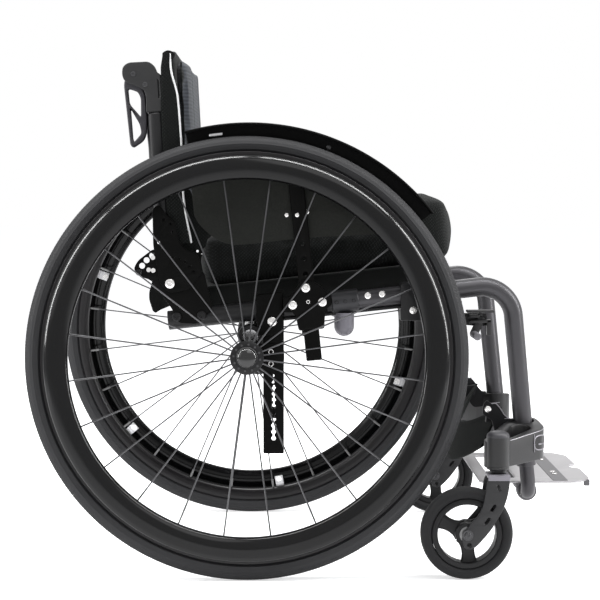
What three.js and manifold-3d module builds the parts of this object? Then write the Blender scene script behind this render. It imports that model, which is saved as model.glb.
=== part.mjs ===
// Rigid frame active wheelchair, built as named pieces at real size.
// Millimetres, +X forwards, +Y to the chair's left, +Z up, floor at z = 0.
// Side pieces are drawn once for the left side and mirrored for the right.
import * as THREE from "three";
import { mergeVertices } from "three/addons/utils/BufferGeometryUtils.js";
import Module from "manifold-3d";

const wasm = await Module();
wasm.setup();

// Driving sizes
const tyreRadius = 295;
const tyreSection = 25;
const camberDegrees = 4;
const tyreTopClearance = 5.194;
const casterRadius = 61.5;
const casterOutset = 100;
const casterSetBack = 54.5;
const casterTrail = 41.5;
const railHalfSpacing = 188;
const railSlopeDegrees = 6.1;
const frameTubeRadius = 13;
const frameTubeWall = 2;
const crossTubeRise = 22.688;
const carrierRingRadius = 17;
const railClearance = 4;
const frontBendRadius = 45;
const frontBendDrawIn = 10;
const legLean = 29;
const legDrawIn = 15;
const footTubeRadius = 10;
const footTubeHeight = 98;
const backPivotX = -104.5;
const backPivotRise = 50.668;
const backLeanDegrees = 3;
const backLength = 316;
const fitGap = 0.3;
const runGap = 1;
const cutOverrun = 2;

// Values worked out from the driving sizes
const degrees = Math.PI / 180;
const camber = camberDegrees * degrees;
const tyreSectionRadius = tyreSection / 2;
const axleHeight = (tyreRadius - tyreSectionRadius) * Math.cos(camber) + tyreSectionRadius;
const crossTubeHeight = axleHeight + crossTubeRise;
const railHeightAtAxle = crossTubeHeight + carrierRingRadius + railClearance + frameTubeRadius;
const railRise = Math.tan(railSlopeDegrees * degrees);
const railHeight = (x) => railHeightAtAxle + x * railRise;
const railOuterFace = railHalfSpacing + frameTubeRadius;
const backPivotHeight = railHeight(backPivotX) + backPivotRise;
const frontBendHalfSpacing = railHalfSpacing - frontBendDrawIn;
const footTubeHalfSpacing = frontBendHalfSpacing - legDrawIn;
const casterTrack = 2 * (footTubeHalfSpacing + casterOutset);
const tubeSides = 12;
const boltSides = 8;

// Plates stacked outwards from the rail: back plates, guard panel, then the fender's band
const backPlateThickness = 3;
const panelClearance = 0.7;
const guardPanelThickness = 2;
const fenderBandThickness = 2;

const pivotPlateNear = railOuterFace + fitGap;
const canePlateNear = pivotPlateNear + backPlateThickness + fitGap;
const guardPanelFace = canePlateNear + backPlateThickness + panelClearance;
const fenderBandNear = guardPanelFace + guardPanelThickness + fitGap;
const fenderBandFar = fenderBandNear + fenderBandThickness;
const tyreTopLean = (tyreRadius - tyreSectionRadius) * Math.sin(camber);
const wheelTrack = 2 * (fenderBandFar + tyreTopClearance + tyreTopLean + tyreSectionRadius);

// Small helpers for solids
const point = (x, y, z) => new THREE.Vector3(x, y, z);

function solidOf(geometry) {
  const bare = new THREE.BufferGeometry();
  bare.setAttribute("position", geometry.getAttribute("position"));
  if (geometry.index) bare.setIndex(geometry.index);
  const merged = mergeVertices(bare, 1e-4);
  const triVerts = new Uint32Array(merged.index.array);
  const vertProperties = merged.attributes.position.array;
  const made = new wasm.Manifold(new wasm.Mesh({ numProp: 3, vertProperties, triVerts }));
  if (made.volume() > 0) return made;
  for (let i = 0; i < triVerts.length; i += 3) {
    [triVerts[i + 1], triVerts[i + 2]] = [triVerts[i + 2], triVerts[i + 1]];
  }
  return new wasm.Manifold(new wasm.Mesh({ numProp: 3, vertProperties, triVerts }));
}

const joined = (...solids) => solids.reduce((whole, next) => whole.add(next));
const cut = (body, ...tools) => tools.reduce((rest, tool) => rest.subtract(tool), body);

// A bore of flat sides that clears a round pin by the fit gap all round.
const boreFor = (radius, sides) => (radius + fitGap) / Math.cos(Math.PI / sides);

function rod(from, to, radius, sides = tubeSides) {
  const along = to.clone().sub(from);
  const geometry = new THREE.CylinderGeometry(radius, radius, along.length(), sides);
  const turn = new THREE.Quaternion().setFromUnitVectors(point(0, 1, 0), along.clone().normalize());
  geometry.applyQuaternion(turn);
  const middle = from.clone().add(to).multiplyScalar(0.5);
  geometry.translate(middle.x, middle.y, middle.z);
  return solidOf(geometry);
}

function block(low, high) {
  const size = high.clone().sub(low);
  const geometry = new THREE.BoxGeometry(size.x, size.y, size.z);
  geometry.translate(...low.clone().add(high).multiplyScalar(0.5).toArray());
  return solidOf(geometry);
}

// A ring or a turned body about the Y axis, from points of radius and y.
function turned(profile, segments) {
  const points = profile.map(([radius, y]) => new THREE.Vector2(radius, y));
  return solidOf(new THREE.LatheGeometry(points, segments));
}

// A closed outline with each corner rounded, over less than half of each side.
const cornerShare = 0.45;

function roundedShape(points, radius) {
  const shape = new THREE.Shape();
  const corners = points.map(([x, z]) => new THREE.Vector2(x, z));
  corners.forEach((corner, i) => {
    const before = corners[(i + corners.length - 1) % corners.length].clone().sub(corner);
    const after = corners[(i + 1) % corners.length].clone().sub(corner);
    const reach = Math.min(radius, before.length() * cornerShare, after.length() * cornerShare);
    const start = corner.clone().add(before.setLength(reach));
    const end = corner.clone().add(after.setLength(reach));
    if (i) shape.lineTo(start.x, start.y);
    else shape.moveTo(start.x, start.y);
    shape.quadraticCurveTo(corner.x, corner.y, end.x, end.y);
  });
  shape.closePath();
  return shape;
}

// A plate drawn in x and z, from y = near to y = far.
function uprightPlate(shape, near, far, curveSegments = 1) {
  const geometry = new THREE.ExtrudeGeometry(shape, {
    depth: far - near,
    bevelEnabled: false,
    curveSegments,
  });
  geometry.rotateX(Math.PI / 2);
  geometry.translate(0, far, 0);
  return solidOf(geometry);
}

// A plate drawn in x and y, from z = low to z = high.
function flatPlate(shape, low, high, curveSegments = 1) {
  const geometry = new THREE.ExtrudeGeometry(shape, {
    depth: high - low,
    bevelEnabled: false,
    curveSegments,
  });
  geometry.translate(0, 0, low);
  return solidOf(geometry);
}

const pinHole = (x, z, radius, near, far, sides = boltSides) =>
  rod(point(x, near - cutOverrun, z), point(x, far + cutOverrun, z), radius, sides);

// A path through chosen points, with a mitre at each.
class BentPath extends THREE.Curve {
  constructor(points) {
    super();
    this.points = points;
  }
  getPoint(t) {
    const place = t * (this.points.length - 1);
    const k = Math.min(Math.floor(place), this.points.length - 2);
    return this.points[k].clone().lerp(this.points[k + 1], place - k);
  }
  getPointAt(u) {
    return this.getPoint(u);
  }
  getTangent(t) {
    const last = this.points.length - 1;
    const k = Math.round(t * last);
    const here = this.points[k];
    const tangent = point(0, 0, 0);
    if (k > 0) tangent.add(here.clone().sub(this.points[k - 1]).normalize());
    if (k < last) tangent.add(this.points[k + 1].clone().sub(here).normalize());
    return tangent.normalize();
  }
  getTangentAt(u) {
    return this.getTangent(u);
  }
}

// Points of a route whose inner corners are bent round to a radius.
function bentPoints(corners, radius, steps) {
  const points = [corners[0]];
  for (let i = 1; i < corners.length - 1; i += 1) {
    const into = corners[i].clone().sub(corners[i - 1]).normalize();
    const out = corners[i + 1].clone().sub(corners[i]).normalize();
    const turn = into.angleTo(out);
    const start = corners[i].clone().addScaledVector(into, -radius * Math.tan(turn / 2));
    const across = out.clone().addScaledVector(into, -into.dot(out)).normalize();
    for (let k = 0; k <= steps; k += 1) {
      const angle = (turn * k) / steps;
      const bent = start.clone().addScaledVector(into, radius * Math.sin(angle));
      points.push(bent.addScaledVector(across, radius * (1 - Math.cos(angle))));
    }
  }
  points.push(corners[corners.length - 1]);
  return points;
}

function tubeAlong(points, outer, inner, sides = tubeSides) {
  const ring = new THREE.Shape().absarc(0, 0, outer, 0, 2 * Math.PI);
  if (inner) ring.holes.push(new THREE.Path().absarc(0, 0, inner, 0, 2 * Math.PI, true));
  const geometry = new THREE.ExtrudeGeometry(ring, {
    steps: points.length - 1,
    curveSegments: sides / 2,
    extrudePath: new BentPath(points),
  });
  return solidOf(geometry);
}

// Finishes
const finish = (color, roughness, metalness) =>
  new THREE.MeshStandardMaterial({ color, roughness, metalness });
const tyreRubber = finish(0x2e2f30, 0.85, 0);
const blackAnodised = finish(0x1b1c1d, 0.45, 0.6);
const glossBlack = finish(0x0b0b0c, 0.12, 0);
const blackPlastic = finish(0x1d1e20, 0.6, 0);
const greySatin = finish(0x5a5a60, 0.4, 0.8);
const paleMetal = finish(0xb4b2b4, 0.35, 0.9);
const blackSteel = finish(0x161617, 0.5, 0.5);
const meshFabric = finish(0x1f2222, 0.95, 0);
const ribbedFabric = finish(0x4a5058, 0.95, 0);
const strapFabric = finish(0x1c211e, 0.95, 0);

const wheelchair = new THREE.Group();
wheelchair.name = "rigid_frame_active_wheelchair";

function addPiece(parent, name, solid, material) {
  const mesh = solid.getMesh();
  const geometry = new THREE.BufferGeometry();
  geometry.setAttribute("position", new THREE.BufferAttribute(mesh.vertProperties, 3));
  geometry.setIndex(new THREE.BufferAttribute(mesh.triVerts, 1));
  geometry.computeVertexNormals();
  const piece = new THREE.Mesh(geometry, material);
  piece.name = name;
  parent.add(piece);
}

// Rear wheel, drawn about its own centre with y along the axle, outwards positive
const wheelSegments = 40;
const tyreBeadAngle = 50 * degrees;
const tyreArcSteps = 8;
const rimWidth = 24;
const rimFlangeDepth = 6;
const rimDepth = 15;
const rimBedWidth = 12;
const hubFlangeRadius = 22;
const hubFlangeThickness = 4;
const hubBarrelRadius = 14;
const hubLength = 56;
const hubOverhang = 4;
const hubSides = 12;
const spokeCount = 24;
const spokeRadius = 1.1;
const spokeSides = 4;
const spokeRootShare = 0.75;
const spokeRimOffset = 3;
const handRimInset = 6.624;
const handRimHeight = 33;
const handRimThickness = 20;
const handRimOffset = 32;
const handRimSteps = 8;
const handRimTabs = 6;
const handRimTabWidth = 12;
const handRimTabThickness = 5;
const releaseAxleRadius = 6.3;
const releaseAxleLength = 80;
const releaseAxleHeadRadius = 10;
const releaseAxleHeadThickness = 3;
const releaseAxleBoreDepth = 12;
const releaseAxleBoreRadius = 4.4;
const releaseButtonRadius = 12.5;
const releaseButtonHeight = 6;
const releaseButtonRimHeight = 2;
const releaseButtonStemRadius = 3.6;
const releaseButtonStemLength = 8;
const releaseButtonTravel = 3;

const tyreCentreRadius = tyreRadius - tyreSectionRadius;
const tyreSeatRadius = tyreCentreRadius - tyreSectionRadius * Math.sin(tyreBeadAngle);
const rimRadius = tyreSeatRadius - fitGap;
const rimBedRadius = rimRadius - rimDepth;
const handRimRadius = rimBedRadius - handRimInset;
const hubOuterFace = hubLength / 2;

function tyre() {
  const profile = [];
  for (let k = 0; k <= tyreArcSteps; k += 1) {
    const angle = -tyreBeadAngle + (k / tyreArcSteps) * (Math.PI + 2 * tyreBeadAngle);
    const radius = tyreCentreRadius + tyreSectionRadius * Math.sin(angle);
    profile.push([radius, tyreSectionRadius * Math.cos(angle)]);
  }
  profile.push(profile[0]);
  return turned(profile, wheelSegments);
}

function rim() {
  const half = rimWidth / 2;
  const bed = rimBedWidth / 2;
  const flange = rimRadius - rimFlangeDepth;
  const profile = [
    [rimRadius, half],
    [rimRadius, -half],
    [flange, -half],
    [rimBedRadius, -bed],
    [rimBedRadius, bed],
    [flange, half],
    [rimRadius, half],
  ];
  return turned(profile, wheelSegments);
}

function hubAndSpokes() {
  const inner = -hubOuterFace;
  const bore = boreFor(releaseAxleRadius, tubeSides);
  const neck = hubFlangeThickness + hubOverhang;
  const profile = [
    [bore, inner],
    [hubBarrelRadius, inner],
    [hubBarrelRadius, inner + hubOverhang],
    [hubFlangeRadius, inner + hubOverhang],
    [hubFlangeRadius, inner + neck],
    [hubBarrelRadius, inner + neck],
    [hubBarrelRadius, hubOuterFace - neck],
    [hubFlangeRadius, hubOuterFace - neck],
    [hubFlangeRadius, hubOuterFace - hubOverhang],
    [hubBarrelRadius, hubOuterFace - hubOverhang],
    [hubBarrelRadius, hubOuterFace],
    [bore, hubOuterFace],
    [bore, inner],
  ];
  const flangeY = hubOuterFace - hubOverhang - hubFlangeThickness / 2;
  const spokeEnd = rimBedRadius * Math.cos(Math.PI / wheelSegments) - (4 * fitGap) / 3;
  const spokes = [];
  for (let k = 0; k < spokeCount; k += 1) {
    const angle = ((k + 0.5) / spokeCount) * 2 * Math.PI;
    const side = k % 2 ? 1 : -1;
    const spoke = (radius, y) => point(radius * Math.cos(angle), side * y, radius * Math.sin(angle));
    const root = spoke(hubFlangeRadius * spokeRootShare, flangeY);
    spokes.push(rod(root, spoke(spokeEnd, spokeRimOffset), spokeRadius, spokeSides));
  }
  return joined(turned(profile, hubSides), ...spokes);
}

function handRim() {
  const profile = [];
  for (let k = 0; k <= handRimSteps; k += 1) {
    const angle = (k / handRimSteps) * 2 * Math.PI;
    const radius = handRimRadius + (handRimHeight / 2) * Math.cos(angle);
    profile.push([radius, handRimOffset + (handRimThickness / 2) * Math.sin(angle)]);
  }
  profile[handRimSteps] = profile[0];
  const tabTop = rimBedRadius * Math.cos(Math.PI / wheelSegments) - runGap;
  const tabs = [];
  for (let k = 0; k < handRimTabs; k += 1) {
    const low = point(tabTop - handRimTabThickness, spokeRimOffset, -handRimTabWidth / 2);
    const high = point(tabTop, handRimOffset - handRimThickness / 4, handRimTabWidth / 2);
    const size = high.clone().sub(low);
    const tab = new THREE.BoxGeometry(size.x, size.y, size.z);
    tab.translate(...low.add(high).multiplyScalar(0.5).toArray());
    tab.rotateY(((k + 0.5) / handRimTabs) * 2 * Math.PI);
    tabs.push(solidOf(tab));
  }
  return joined(turned(profile, wheelSegments), ...tabs);
}

function releaseAxle() {
  const headStart = hubOuterFace + fitGap;
  const headEnd = headStart + releaseAxleHeadThickness;
  const profile = [
    [0, -releaseAxleLength],
    [releaseAxleRadius, -releaseAxleLength],
    [releaseAxleRadius, headStart],
    [releaseAxleHeadRadius, headStart],
    [releaseAxleHeadRadius, headEnd],
    [releaseAxleBoreRadius, headEnd],
    [releaseAxleBoreRadius, headEnd - releaseAxleBoreDepth],
    [0, headEnd - releaseAxleBoreDepth],
  ];
  return turned(profile, tubeSides);
}

function releaseButton() {
  const foot = hubOuterFace + releaseAxleHeadThickness + releaseButtonTravel + 2 * fitGap;
  const rimTop = foot + releaseButtonRimHeight;
  const top = foot + releaseButtonHeight;
  const shoulderShare = 0.72;
  const profile = [
    [0, foot - releaseButtonStemLength],
    [releaseButtonStemRadius, foot - releaseButtonStemLength],
    [releaseButtonStemRadius, foot],
    [releaseButtonRadius, foot],
    [releaseButtonRadius, rimTop],
    [releaseButtonRadius * shoulderShare, (rimTop + 2 * top) / 3],
    [0, top],
  ];
  return turned(profile, hubSides);
}

// Axle carriers: castings that hold the cross tube and the angled axle sleeves
const crossTubeX = 3.5;
const crossTubeRadius = 11;
const crossTubeWall = 2;
const carrierOverhang = 1.5;
const axleSleeveRadius = 11.5;
const axleSleeveGap = 2.5;
const axleSleeveLength = 50;
const carrierTabShares = [
  [-0.5, 0.36],
  [0.1, 0.72],
  [1.3, 0.3],
  [1.4, -0.55],
  [0.4, -0.72],
  [-0.5, -0.4],
];
const carrierTabSize = 32;
const carrierTabThickness = 12;
const axleBarWidth = 28;
const axleBarThickness = 7;
const axleBarX = 35;
const axleBarDrop = 135.312;
const axleBarHoleRadius = 2.6;
const axleBarHolePitch = 20;
const axleBarHoles = 6;
const clampWall = 4;

const axleBarBottom = axleHeight - axleBarDrop;
const clampReach = frameTubeRadius + clampWall;
const clampInnerFace = railHalfSpacing - clampReach;
const axleBarInnerFace = railHalfSpacing + clampReach - axleBarThickness - clampWall;
const axleBarOuterFace = axleBarInnerFace + axleBarThickness;
const sleeveOuterEnd = hubOuterFace + axleSleeveGap;
const sleeveInnerEnd = sleeveOuterEnd + axleSleeveLength;

// A point on the wheel's own axle line, at a distance outwards from the wheel's middle.
const onAxle = (outwards) =>
  point(0, wheelTrack / 2 + outwards * Math.cos(camber), axleHeight + outwards * Math.sin(camber));

const mirrored = (solid) => solid.mirror([0, 1, 0]);

function crossTube() {
  const end = axleBarInnerFace - carrierOverhang;
  const outer = rod(
    point(crossTubeX, -end, crossTubeHeight),
    point(crossTubeX, end, crossTubeHeight),
    crossTubeRadius,
  );
  const hollow = rod(
    point(crossTubeX, -end - cutOverrun, crossTubeHeight),
    point(crossTubeX, end + cutOverrun, crossTubeHeight),
    crossTubeRadius - crossTubeWall,
  );
  return cut(outer, hollow);
}

function axleCarrier() {
  const far = axleBarInnerFace - fitGap;
  const tabHeight = onAxle(-sleeveInnerEnd).z;
  const tab = carrierTabShares.map(([x, z]) => [x * carrierTabSize, tabHeight + z * carrierTabSize]);
  const plate = uprightPlate(roundedShape(tab, clampWall), far - carrierTabThickness, far);
  const ring = rod(
    point(crossTubeX, clampInnerFace, crossTubeHeight),
    point(crossTubeX, far, crossTubeHeight),
    carrierRingRadius,
  );
  const tubeBore = rod(
    point(crossTubeX, clampInnerFace - cutOverrun, crossTubeHeight),
    point(crossTubeX, far + cutOverrun, crossTubeHeight),
    boreFor(crossTubeRadius, tubeSides),
  );
  const sleeve = rod(onAxle(-sleeveInnerEnd), onAxle(-sleeveOuterEnd), axleSleeveRadius);
  const axleBore = rod(
    onAxle(-sleeveInnerEnd - cutOverrun),
    onAxle(cutOverrun - sleeveOuterEnd),
    boreFor(releaseAxleRadius, tubeSides),
  );
  return cut(joined(plate, ring, sleeve), tubeBore, axleBore);
}

// Height bar bolted to the carrier, made in one with its clamp round the rail
const railClampOffset = 5;
const railClampLength = 36;
const railClampDrop = 34;
const railClampCorner = 3;
const railClampTop = 24;

const railClampX = axleBarX - railClampOffset;

// A bore along the straight rail, for a clamp between two places on it.
function railBore(from, to) {
  const start = point(from - cutOverrun, railHalfSpacing, railHeight(from - cutOverrun));
  const end = point(to + cutOverrun, railHalfSpacing, railHeight(to + cutOverrun));
  return rod(start, end, boreFor(frameTubeRadius, tubeSides));
}

function axleBar() {
  const barOutline = roundedShape(
    [
      [axleBarX - axleBarWidth / 2, axleBarBottom],
      [axleBarX + axleBarWidth / 2, axleBarBottom],
      [axleBarX + axleBarWidth / 2, railHeight(railClampX)],
      [axleBarX - axleBarWidth / 2, railHeight(railClampX)],
    ],
    railClampCorner,
  );
  const bar = uprightPlate(barOutline, axleBarInnerFace, axleBarOuterFace);
  const from = railClampX - railClampLength / 2;
  const to = railClampX + railClampLength / 2;
  const middle = railHeight(railClampX);
  const clampOutline = roundedShape(
    [
      [from + railClampCorner, middle - railClampDrop],
      [to - railClampCorner, middle - railClampDrop],
      [to, middle - frameTubeRadius],
      [to, middle + railClampTop],
      [from, middle + railClampTop - railClampLength * railRise],
      [from, middle - frameTubeRadius],
    ],
    railClampCorner,
  );
  const clamp = uprightPlate(clampOutline, clampInnerFace, axleBarOuterFace + clampWall);
  const carrierRoom = rod(
    point(crossTubeX, clampInnerFace - cutOverrun, crossTubeHeight),
    point(crossTubeX, axleBarInnerFace, crossTubeHeight),
    carrierRingRadius + runGap,
    hubSides,
  );
  const holes = [];
  for (let k = 0; k < axleBarHoles; k += 1) {
    const z = axleBarBottom + axleBarHolePitch * (k + 1);
    holes.push(pinHole(axleBarX, z, axleBarHoleRadius, axleBarInnerFace, axleBarOuterFace, 6));
  }
  return cut(joined(bar, clamp), carrierRoom, railBore(from, to), ...holes);
}

// Side rails: a straight rear tube, and a front tube bent down to the casters
const rearTubeOverhang = 3.5;
const receiverSize = 50;
const receiverRearShare = 0.72;
const receiverFrontShare = 0.5;
const collarClearance = 5;
const collarLength = 36;
const brakeShoeClearance = 4;
const brakeShoeRadius = 7;
const brakePivotAhead = 9;
const brakePivotReach = 91;
const brakeClampLength = 34;
const veerClearance = 21;
const veerLength = 96.5;
const bendSteps = 5;

const rearTubeBack = backPivotX - rearTubeOverhang;
const receiverX = railClampX + railClampLength / 2 + receiverSize * receiverRearShare;
const collarX = receiverX + receiverSize * receiverFrontShare + collarClearance + collarLength / 2;
const brakeShoeX = tyreRadius + brakeShoeClearance + brakeShoeRadius;
const brakePivotX = brakeShoeX + brakePivotAhead;
const brakeClampX = brakePivotX - brakePivotReach;
const railVeerX = brakeClampX + brakeClampLength / 2 + veerClearance;
const frontBendX = railVeerX + veerLength;
const footTubeX = frontBendX + legLean;
const casterStemX = footTubeX - casterSetBack;
const frontBend = point(frontBendX, frontBendHalfSpacing, railHeight(frontBendX));
const footCorner = point(footTubeX, footTubeHalfSpacing, footTubeHeight);
const legDirection = footCorner.clone().sub(frontBend).normalize();
const onRail = (x) => point(x, railHalfSpacing, railHeight(x));
const onLeg = (z) =>
  frontBend.clone().addScaledVector(legDirection, (z - frontBend.z) / legDirection.z);

function rearFrameTube() {
  const ends = [onRail(rearTubeBack), onRail(collarX - fitGap)];
  return tubeAlong(ends, frameTubeRadius, frameTubeRadius - frameTubeWall);
}

function frontFrameTube() {
  const corners = [onRail(railVeerX), frontBend, onLeg(frontTubeEndHeight)];
  const bend = bentPoints(corners, frontBendRadius, bendSteps);
  return tubeAlong([onRail(collarX), ...bend], frameTubeRadius, frameTubeRadius - frameTubeWall);
}

// Adapter collar on the rail, with its short round-ended socket below
const collarWall = 3;
const socketRadius = 13.5;
const socketDrop = 33.5;
const collarHoleRadius = 2.2;
const collarHolePitch = 11.5;

function frameCollar() {
  const from = collarX - collarLength / 2;
  const to = collarX + collarLength / 2;
  const middle = railHeight(collarX);
  const collarRadius = frameTubeRadius + collarWall;
  const body = rod(onRail(from), onRail(to), collarRadius, hubSides);
  const socketTop = point(collarX, railHalfSpacing, middle - frameTubeRadius - collarWall / 2);
  const socketEnd = point(collarX, railHalfSpacing, middle - socketDrop);
  const tip = new THREE.SphereGeometry(socketRadius, tubeSides, 6);
  tip.translate(...socketEnd.toArray());
  const holes = [-1, 0, 1].map((k) => {
    const x = collarX + k * collarHolePitch;
    return pinHole(x, railHeight(x), collarHoleRadius, railOuterFace, railHalfSpacing + collarRadius, 6);
  });
  const socket = joined(rod(socketTop, socketEnd, socketRadius), solidOf(tip));
  return cut(joined(body, socket), railBore(from, to), ...holes);
}

// Caster clamp: one arm from the frame leg out to the caster's bearing housing
const forkCrownClearance = 7;
const forkCrownThickness = 6;
const casterRaceHeight = 5;
const casterHousingBelow = 12;
const casterClampHeight = 35;
const casterHousingAbove = 6;
const legTubeOverhang = 5;
const casterStemCover = 9;
const casterHousingRadius = 15;
const casterCapHeight = 4;
const casterArmRadius = 19;
const legRingRadius = 21;
const legCollarHeight = 9;
const legCollarRadius = 20.5;
const clampPocketShares = [0.36, 0.64];
const clampPocketRadius = 9;
const casterStemRadius = 6;

const casterY = casterTrack / 2;
const forkCrownHigh = 2 * casterRadius + forkCrownClearance + forkCrownThickness;
const casterHousingLow = forkCrownHigh + casterRaceHeight;
const casterClampLow = casterHousingLow + casterHousingBelow;
const casterClampHigh = casterClampLow + casterClampHeight;
const casterHousingHigh = casterClampHigh + casterHousingAbove;
const casterStemTop = casterHousingHigh - casterStemCover;
const frontTubeEndHeight = casterClampLow - legTubeOverhang;

// The outline round two circles, with straight sides between them.
function twoCircleShape(first, firstRadius, second, secondRadius) {
  const across = second.clone().sub(first);
  const heading = across.angle();
  const spread = Math.acos((firstRadius - secondRadius) / across.length());
  const shape = new THREE.Shape();
  shape.absarc(first.x, first.y, firstRadius, heading + spread, heading - spread + 2 * Math.PI, false);
  shape.absarc(second.x, second.y, secondRadius, heading - spread, heading + spread, false);
  shape.closePath();
  return shape;
}

function casterClamp() {
  const housing = new THREE.Vector2(casterStemX, casterY);
  const legMiddle = onLeg((casterClampLow + casterClampHigh) / 2);
  const leg = new THREE.Vector2(legMiddle.x, legMiddle.y);
  const arm = flatPlate(
    twoCircleShape(housing, casterArmRadius, leg, legRingRadius),
    casterClampLow,
    casterClampHigh,
    4,
  );
  const capShare = 0.6;
  const housingProfile = [
    [0, casterHousingLow],
    [casterHousingRadius, casterHousingLow],
    [casterHousingRadius, casterHousingHigh],
    [casterHousingRadius * capShare, casterHousingHigh + casterCapHeight],
    [0, casterHousingHigh + casterCapHeight],
  ];
  const housingPoints = housingProfile.map(([radius, z]) => new THREE.Vector2(radius, z));
  const housingGeometry = new THREE.LatheGeometry(housingPoints, tubeSides + 4);
  housingGeometry.rotateX(Math.PI / 2);
  housingGeometry.translate(housing.x, housing.y, 0);
  const pocketEnds = clampPocketShares.map((share) => housing.clone().lerp(leg, share));
  const pocket = flatPlate(
    twoCircleShape(pocketEnds[0], clampPocketRadius, pocketEnds[1], clampPocketRadius),
    casterClampLow - cutOverrun,
    casterClampHigh + cutOverrun,
    2,
  );
  const collar = rod(
    onLeg(casterClampHigh - legCollarHeight),
    onLeg(casterClampHigh + legCollarHeight),
    legCollarRadius,
  );
  const legBore = rod(
    onLeg(casterClampLow - legRingRadius),
    onLeg(casterClampHigh + legRingRadius),
    boreFor(frameTubeRadius, tubeSides),
  );
  const stemBore = rod(
    point(casterStemX, casterY, casterHousingLow - cutOverrun),
    point(casterStemX, casterY, casterStemTop + fitGap),
    boreFor(casterStemRadius, tubeSides),
  );
  return cut(joined(arm, collar, solidOf(housingGeometry)), pocket, legBore, stemBore);
}

// Caster fork with its stem and wheel bolt
const forkWidth = 43;
const forkPlateThickness = 4;
const forkOutlineShares = [
  [-0.36, 1],
  [0.35, 1],
  [0.29, 0.79],
  [0.14, 0.49],
  [-0.27, 0.1],
  [-0.68, -0.17],
  [-0.87, -0.25],
  [-1.09, -0.24],
  [-1.2, -0.09],
  [-1.03, 0.13],
  [-0.54, 0.44],
  [-0.44, 0.69],
];
const forkHoleShares = [
  [-0.02, 0.85],
  [-0.19, 0.48],
  [-0.37, 0.25],
];
const forkHoleRadius = 3;
const forkCorner = 5;
const bearingRaceRadius = 11;
const casterBoltRadius = 4;
const casterBoltHeadRadius = 7;
const casterBoltHeadHeight = 4;

const casterAxleX = casterStemX - casterTrail;
const forkDrop = forkCrownHigh - casterRadius;
const forkPoint = ([alongShare, upShare]) => [
  casterStemX + alongShare * casterTrail,
  casterRadius + upShare * forkDrop,
];

function casterFork() {
  const outer = casterY + forkWidth / 2;
  const inner = casterY - forkWidth / 2;
  const shape = roundedShape(forkOutlineShares.map(forkPoint), forkCorner);
  const plates = joined(
    uprightPlate(shape, outer - forkPlateThickness, outer),
    uprightPlate(shape, inner, inner + forkPlateThickness),
  );
  const holes = forkHoleShares.map((share) => {
    const [x, z] = forkPoint(share);
    return pinHole(x, z, forkHoleRadius, inner, outer, 6);
  });
  const [rearX] = forkPoint(forkOutlineShares[0]);
  const [frontX] = forkPoint(forkOutlineShares[1]);
  const crown = block(
    point(rearX, inner, forkCrownHigh - forkCrownThickness),
    point(frontX, outer, forkCrownHigh),
  );
  const raceTop = casterHousingLow - fitGap;
  const race = rod(
    point(casterStemX, casterY, forkCrownHigh - forkCrownThickness),
    point(casterStemX, casterY, raceTop),
    bearingRaceRadius,
  );
  const stem = rod(
    point(casterStemX, casterY, forkCrownHigh - forkCrownThickness),
    point(casterStemX, casterY, casterStemTop),
    casterStemRadius,
  );
  const bolt = rod(
    point(casterAxleX, inner - casterBoltHeadHeight, casterRadius),
    point(casterAxleX, outer + casterBoltHeadHeight, casterRadius),
    casterBoltRadius,
    boltSides,
  );
  const heads = [outer, inner - casterBoltHeadHeight].map((y) =>
    rod(
      point(casterAxleX, y, casterRadius),
      point(casterAxleX, y + casterBoltHeadHeight, casterRadius),
      casterBoltHeadRadius,
      boltSides,
    ),
  );
  return joined(cut(joined(plates, crown), ...holes), race, stem, bolt, ...heads);
}

// Caster wheel: a soft tyre on a three-spoke plastic hub
const casterTyreWidth = 29;
const casterTyreDepth = 14.5;
const casterTyreCrown = 4;
const casterRimDepth = 8;
const casterRimWidth = 25;
const casterHubRadius = 16;
const casterHubWidth = 32;
const casterSpokeCount = 3;
const casterSpokeWidth = 17;
const casterSpokeThickness = 9;
const casterSegments = 24;

const casterSeatRadius = casterRadius - casterTyreDepth;
const casterRimRadius = casterSeatRadius - fitGap;

function casterTyre() {
  const half = casterTyreWidth / 2;
  const shoulder = casterRadius - casterTyreCrown;
  const profile = [
    [casterSeatRadius, half - casterTyreCrown],
    [(casterSeatRadius + shoulder) / 2, half],
    [casterRadius, half / 2],
    [casterRadius, -half / 2],
    [(casterSeatRadius + shoulder) / 2, -half],
    [casterSeatRadius, casterTyreCrown - half],
    [casterSeatRadius, half - casterTyreCrown],
  ];
  return turned(profile, casterSegments);
}

function casterHub() {
  const half = casterRimWidth / 2;
  const rimInner = casterRimRadius - casterRimDepth;
  const rimRing = turned(
    [
      [casterRimRadius, half - casterTyreCrown],
      [casterRimRadius, casterTyreCrown - half],
      [rimInner, -half],
      [rimInner, half],
      [casterRimRadius, half - casterTyreCrown],
    ],
    casterSegments,
  );
  const hub = rod(point(0, -casterHubWidth / 2, 0), point(0, casterHubWidth / 2, 0), casterHubRadius);
  const spokes = [];
  for (let k = 0; k < casterSpokeCount; k += 1) {
    const length = casterRimRadius - casterRimDepth / 2;
    const spoke = new THREE.BoxGeometry(length, casterSpokeThickness, casterSpokeWidth);
    spoke.translate(length / 2, 0, 0);
    spoke.rotateY(((k + 0.25) / casterSpokeCount) * 2 * Math.PI);
    spokes.push(solidOf(spoke));
  }
  const bore = rod(
    point(0, -casterHubWidth, 0),
    point(0, casterHubWidth, 0),
    boreFor(casterBoltRadius, boltSides),
    boltSides,
  );
  return cut(joined(rimRing, hub, ...spokes), bore);
}

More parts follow.
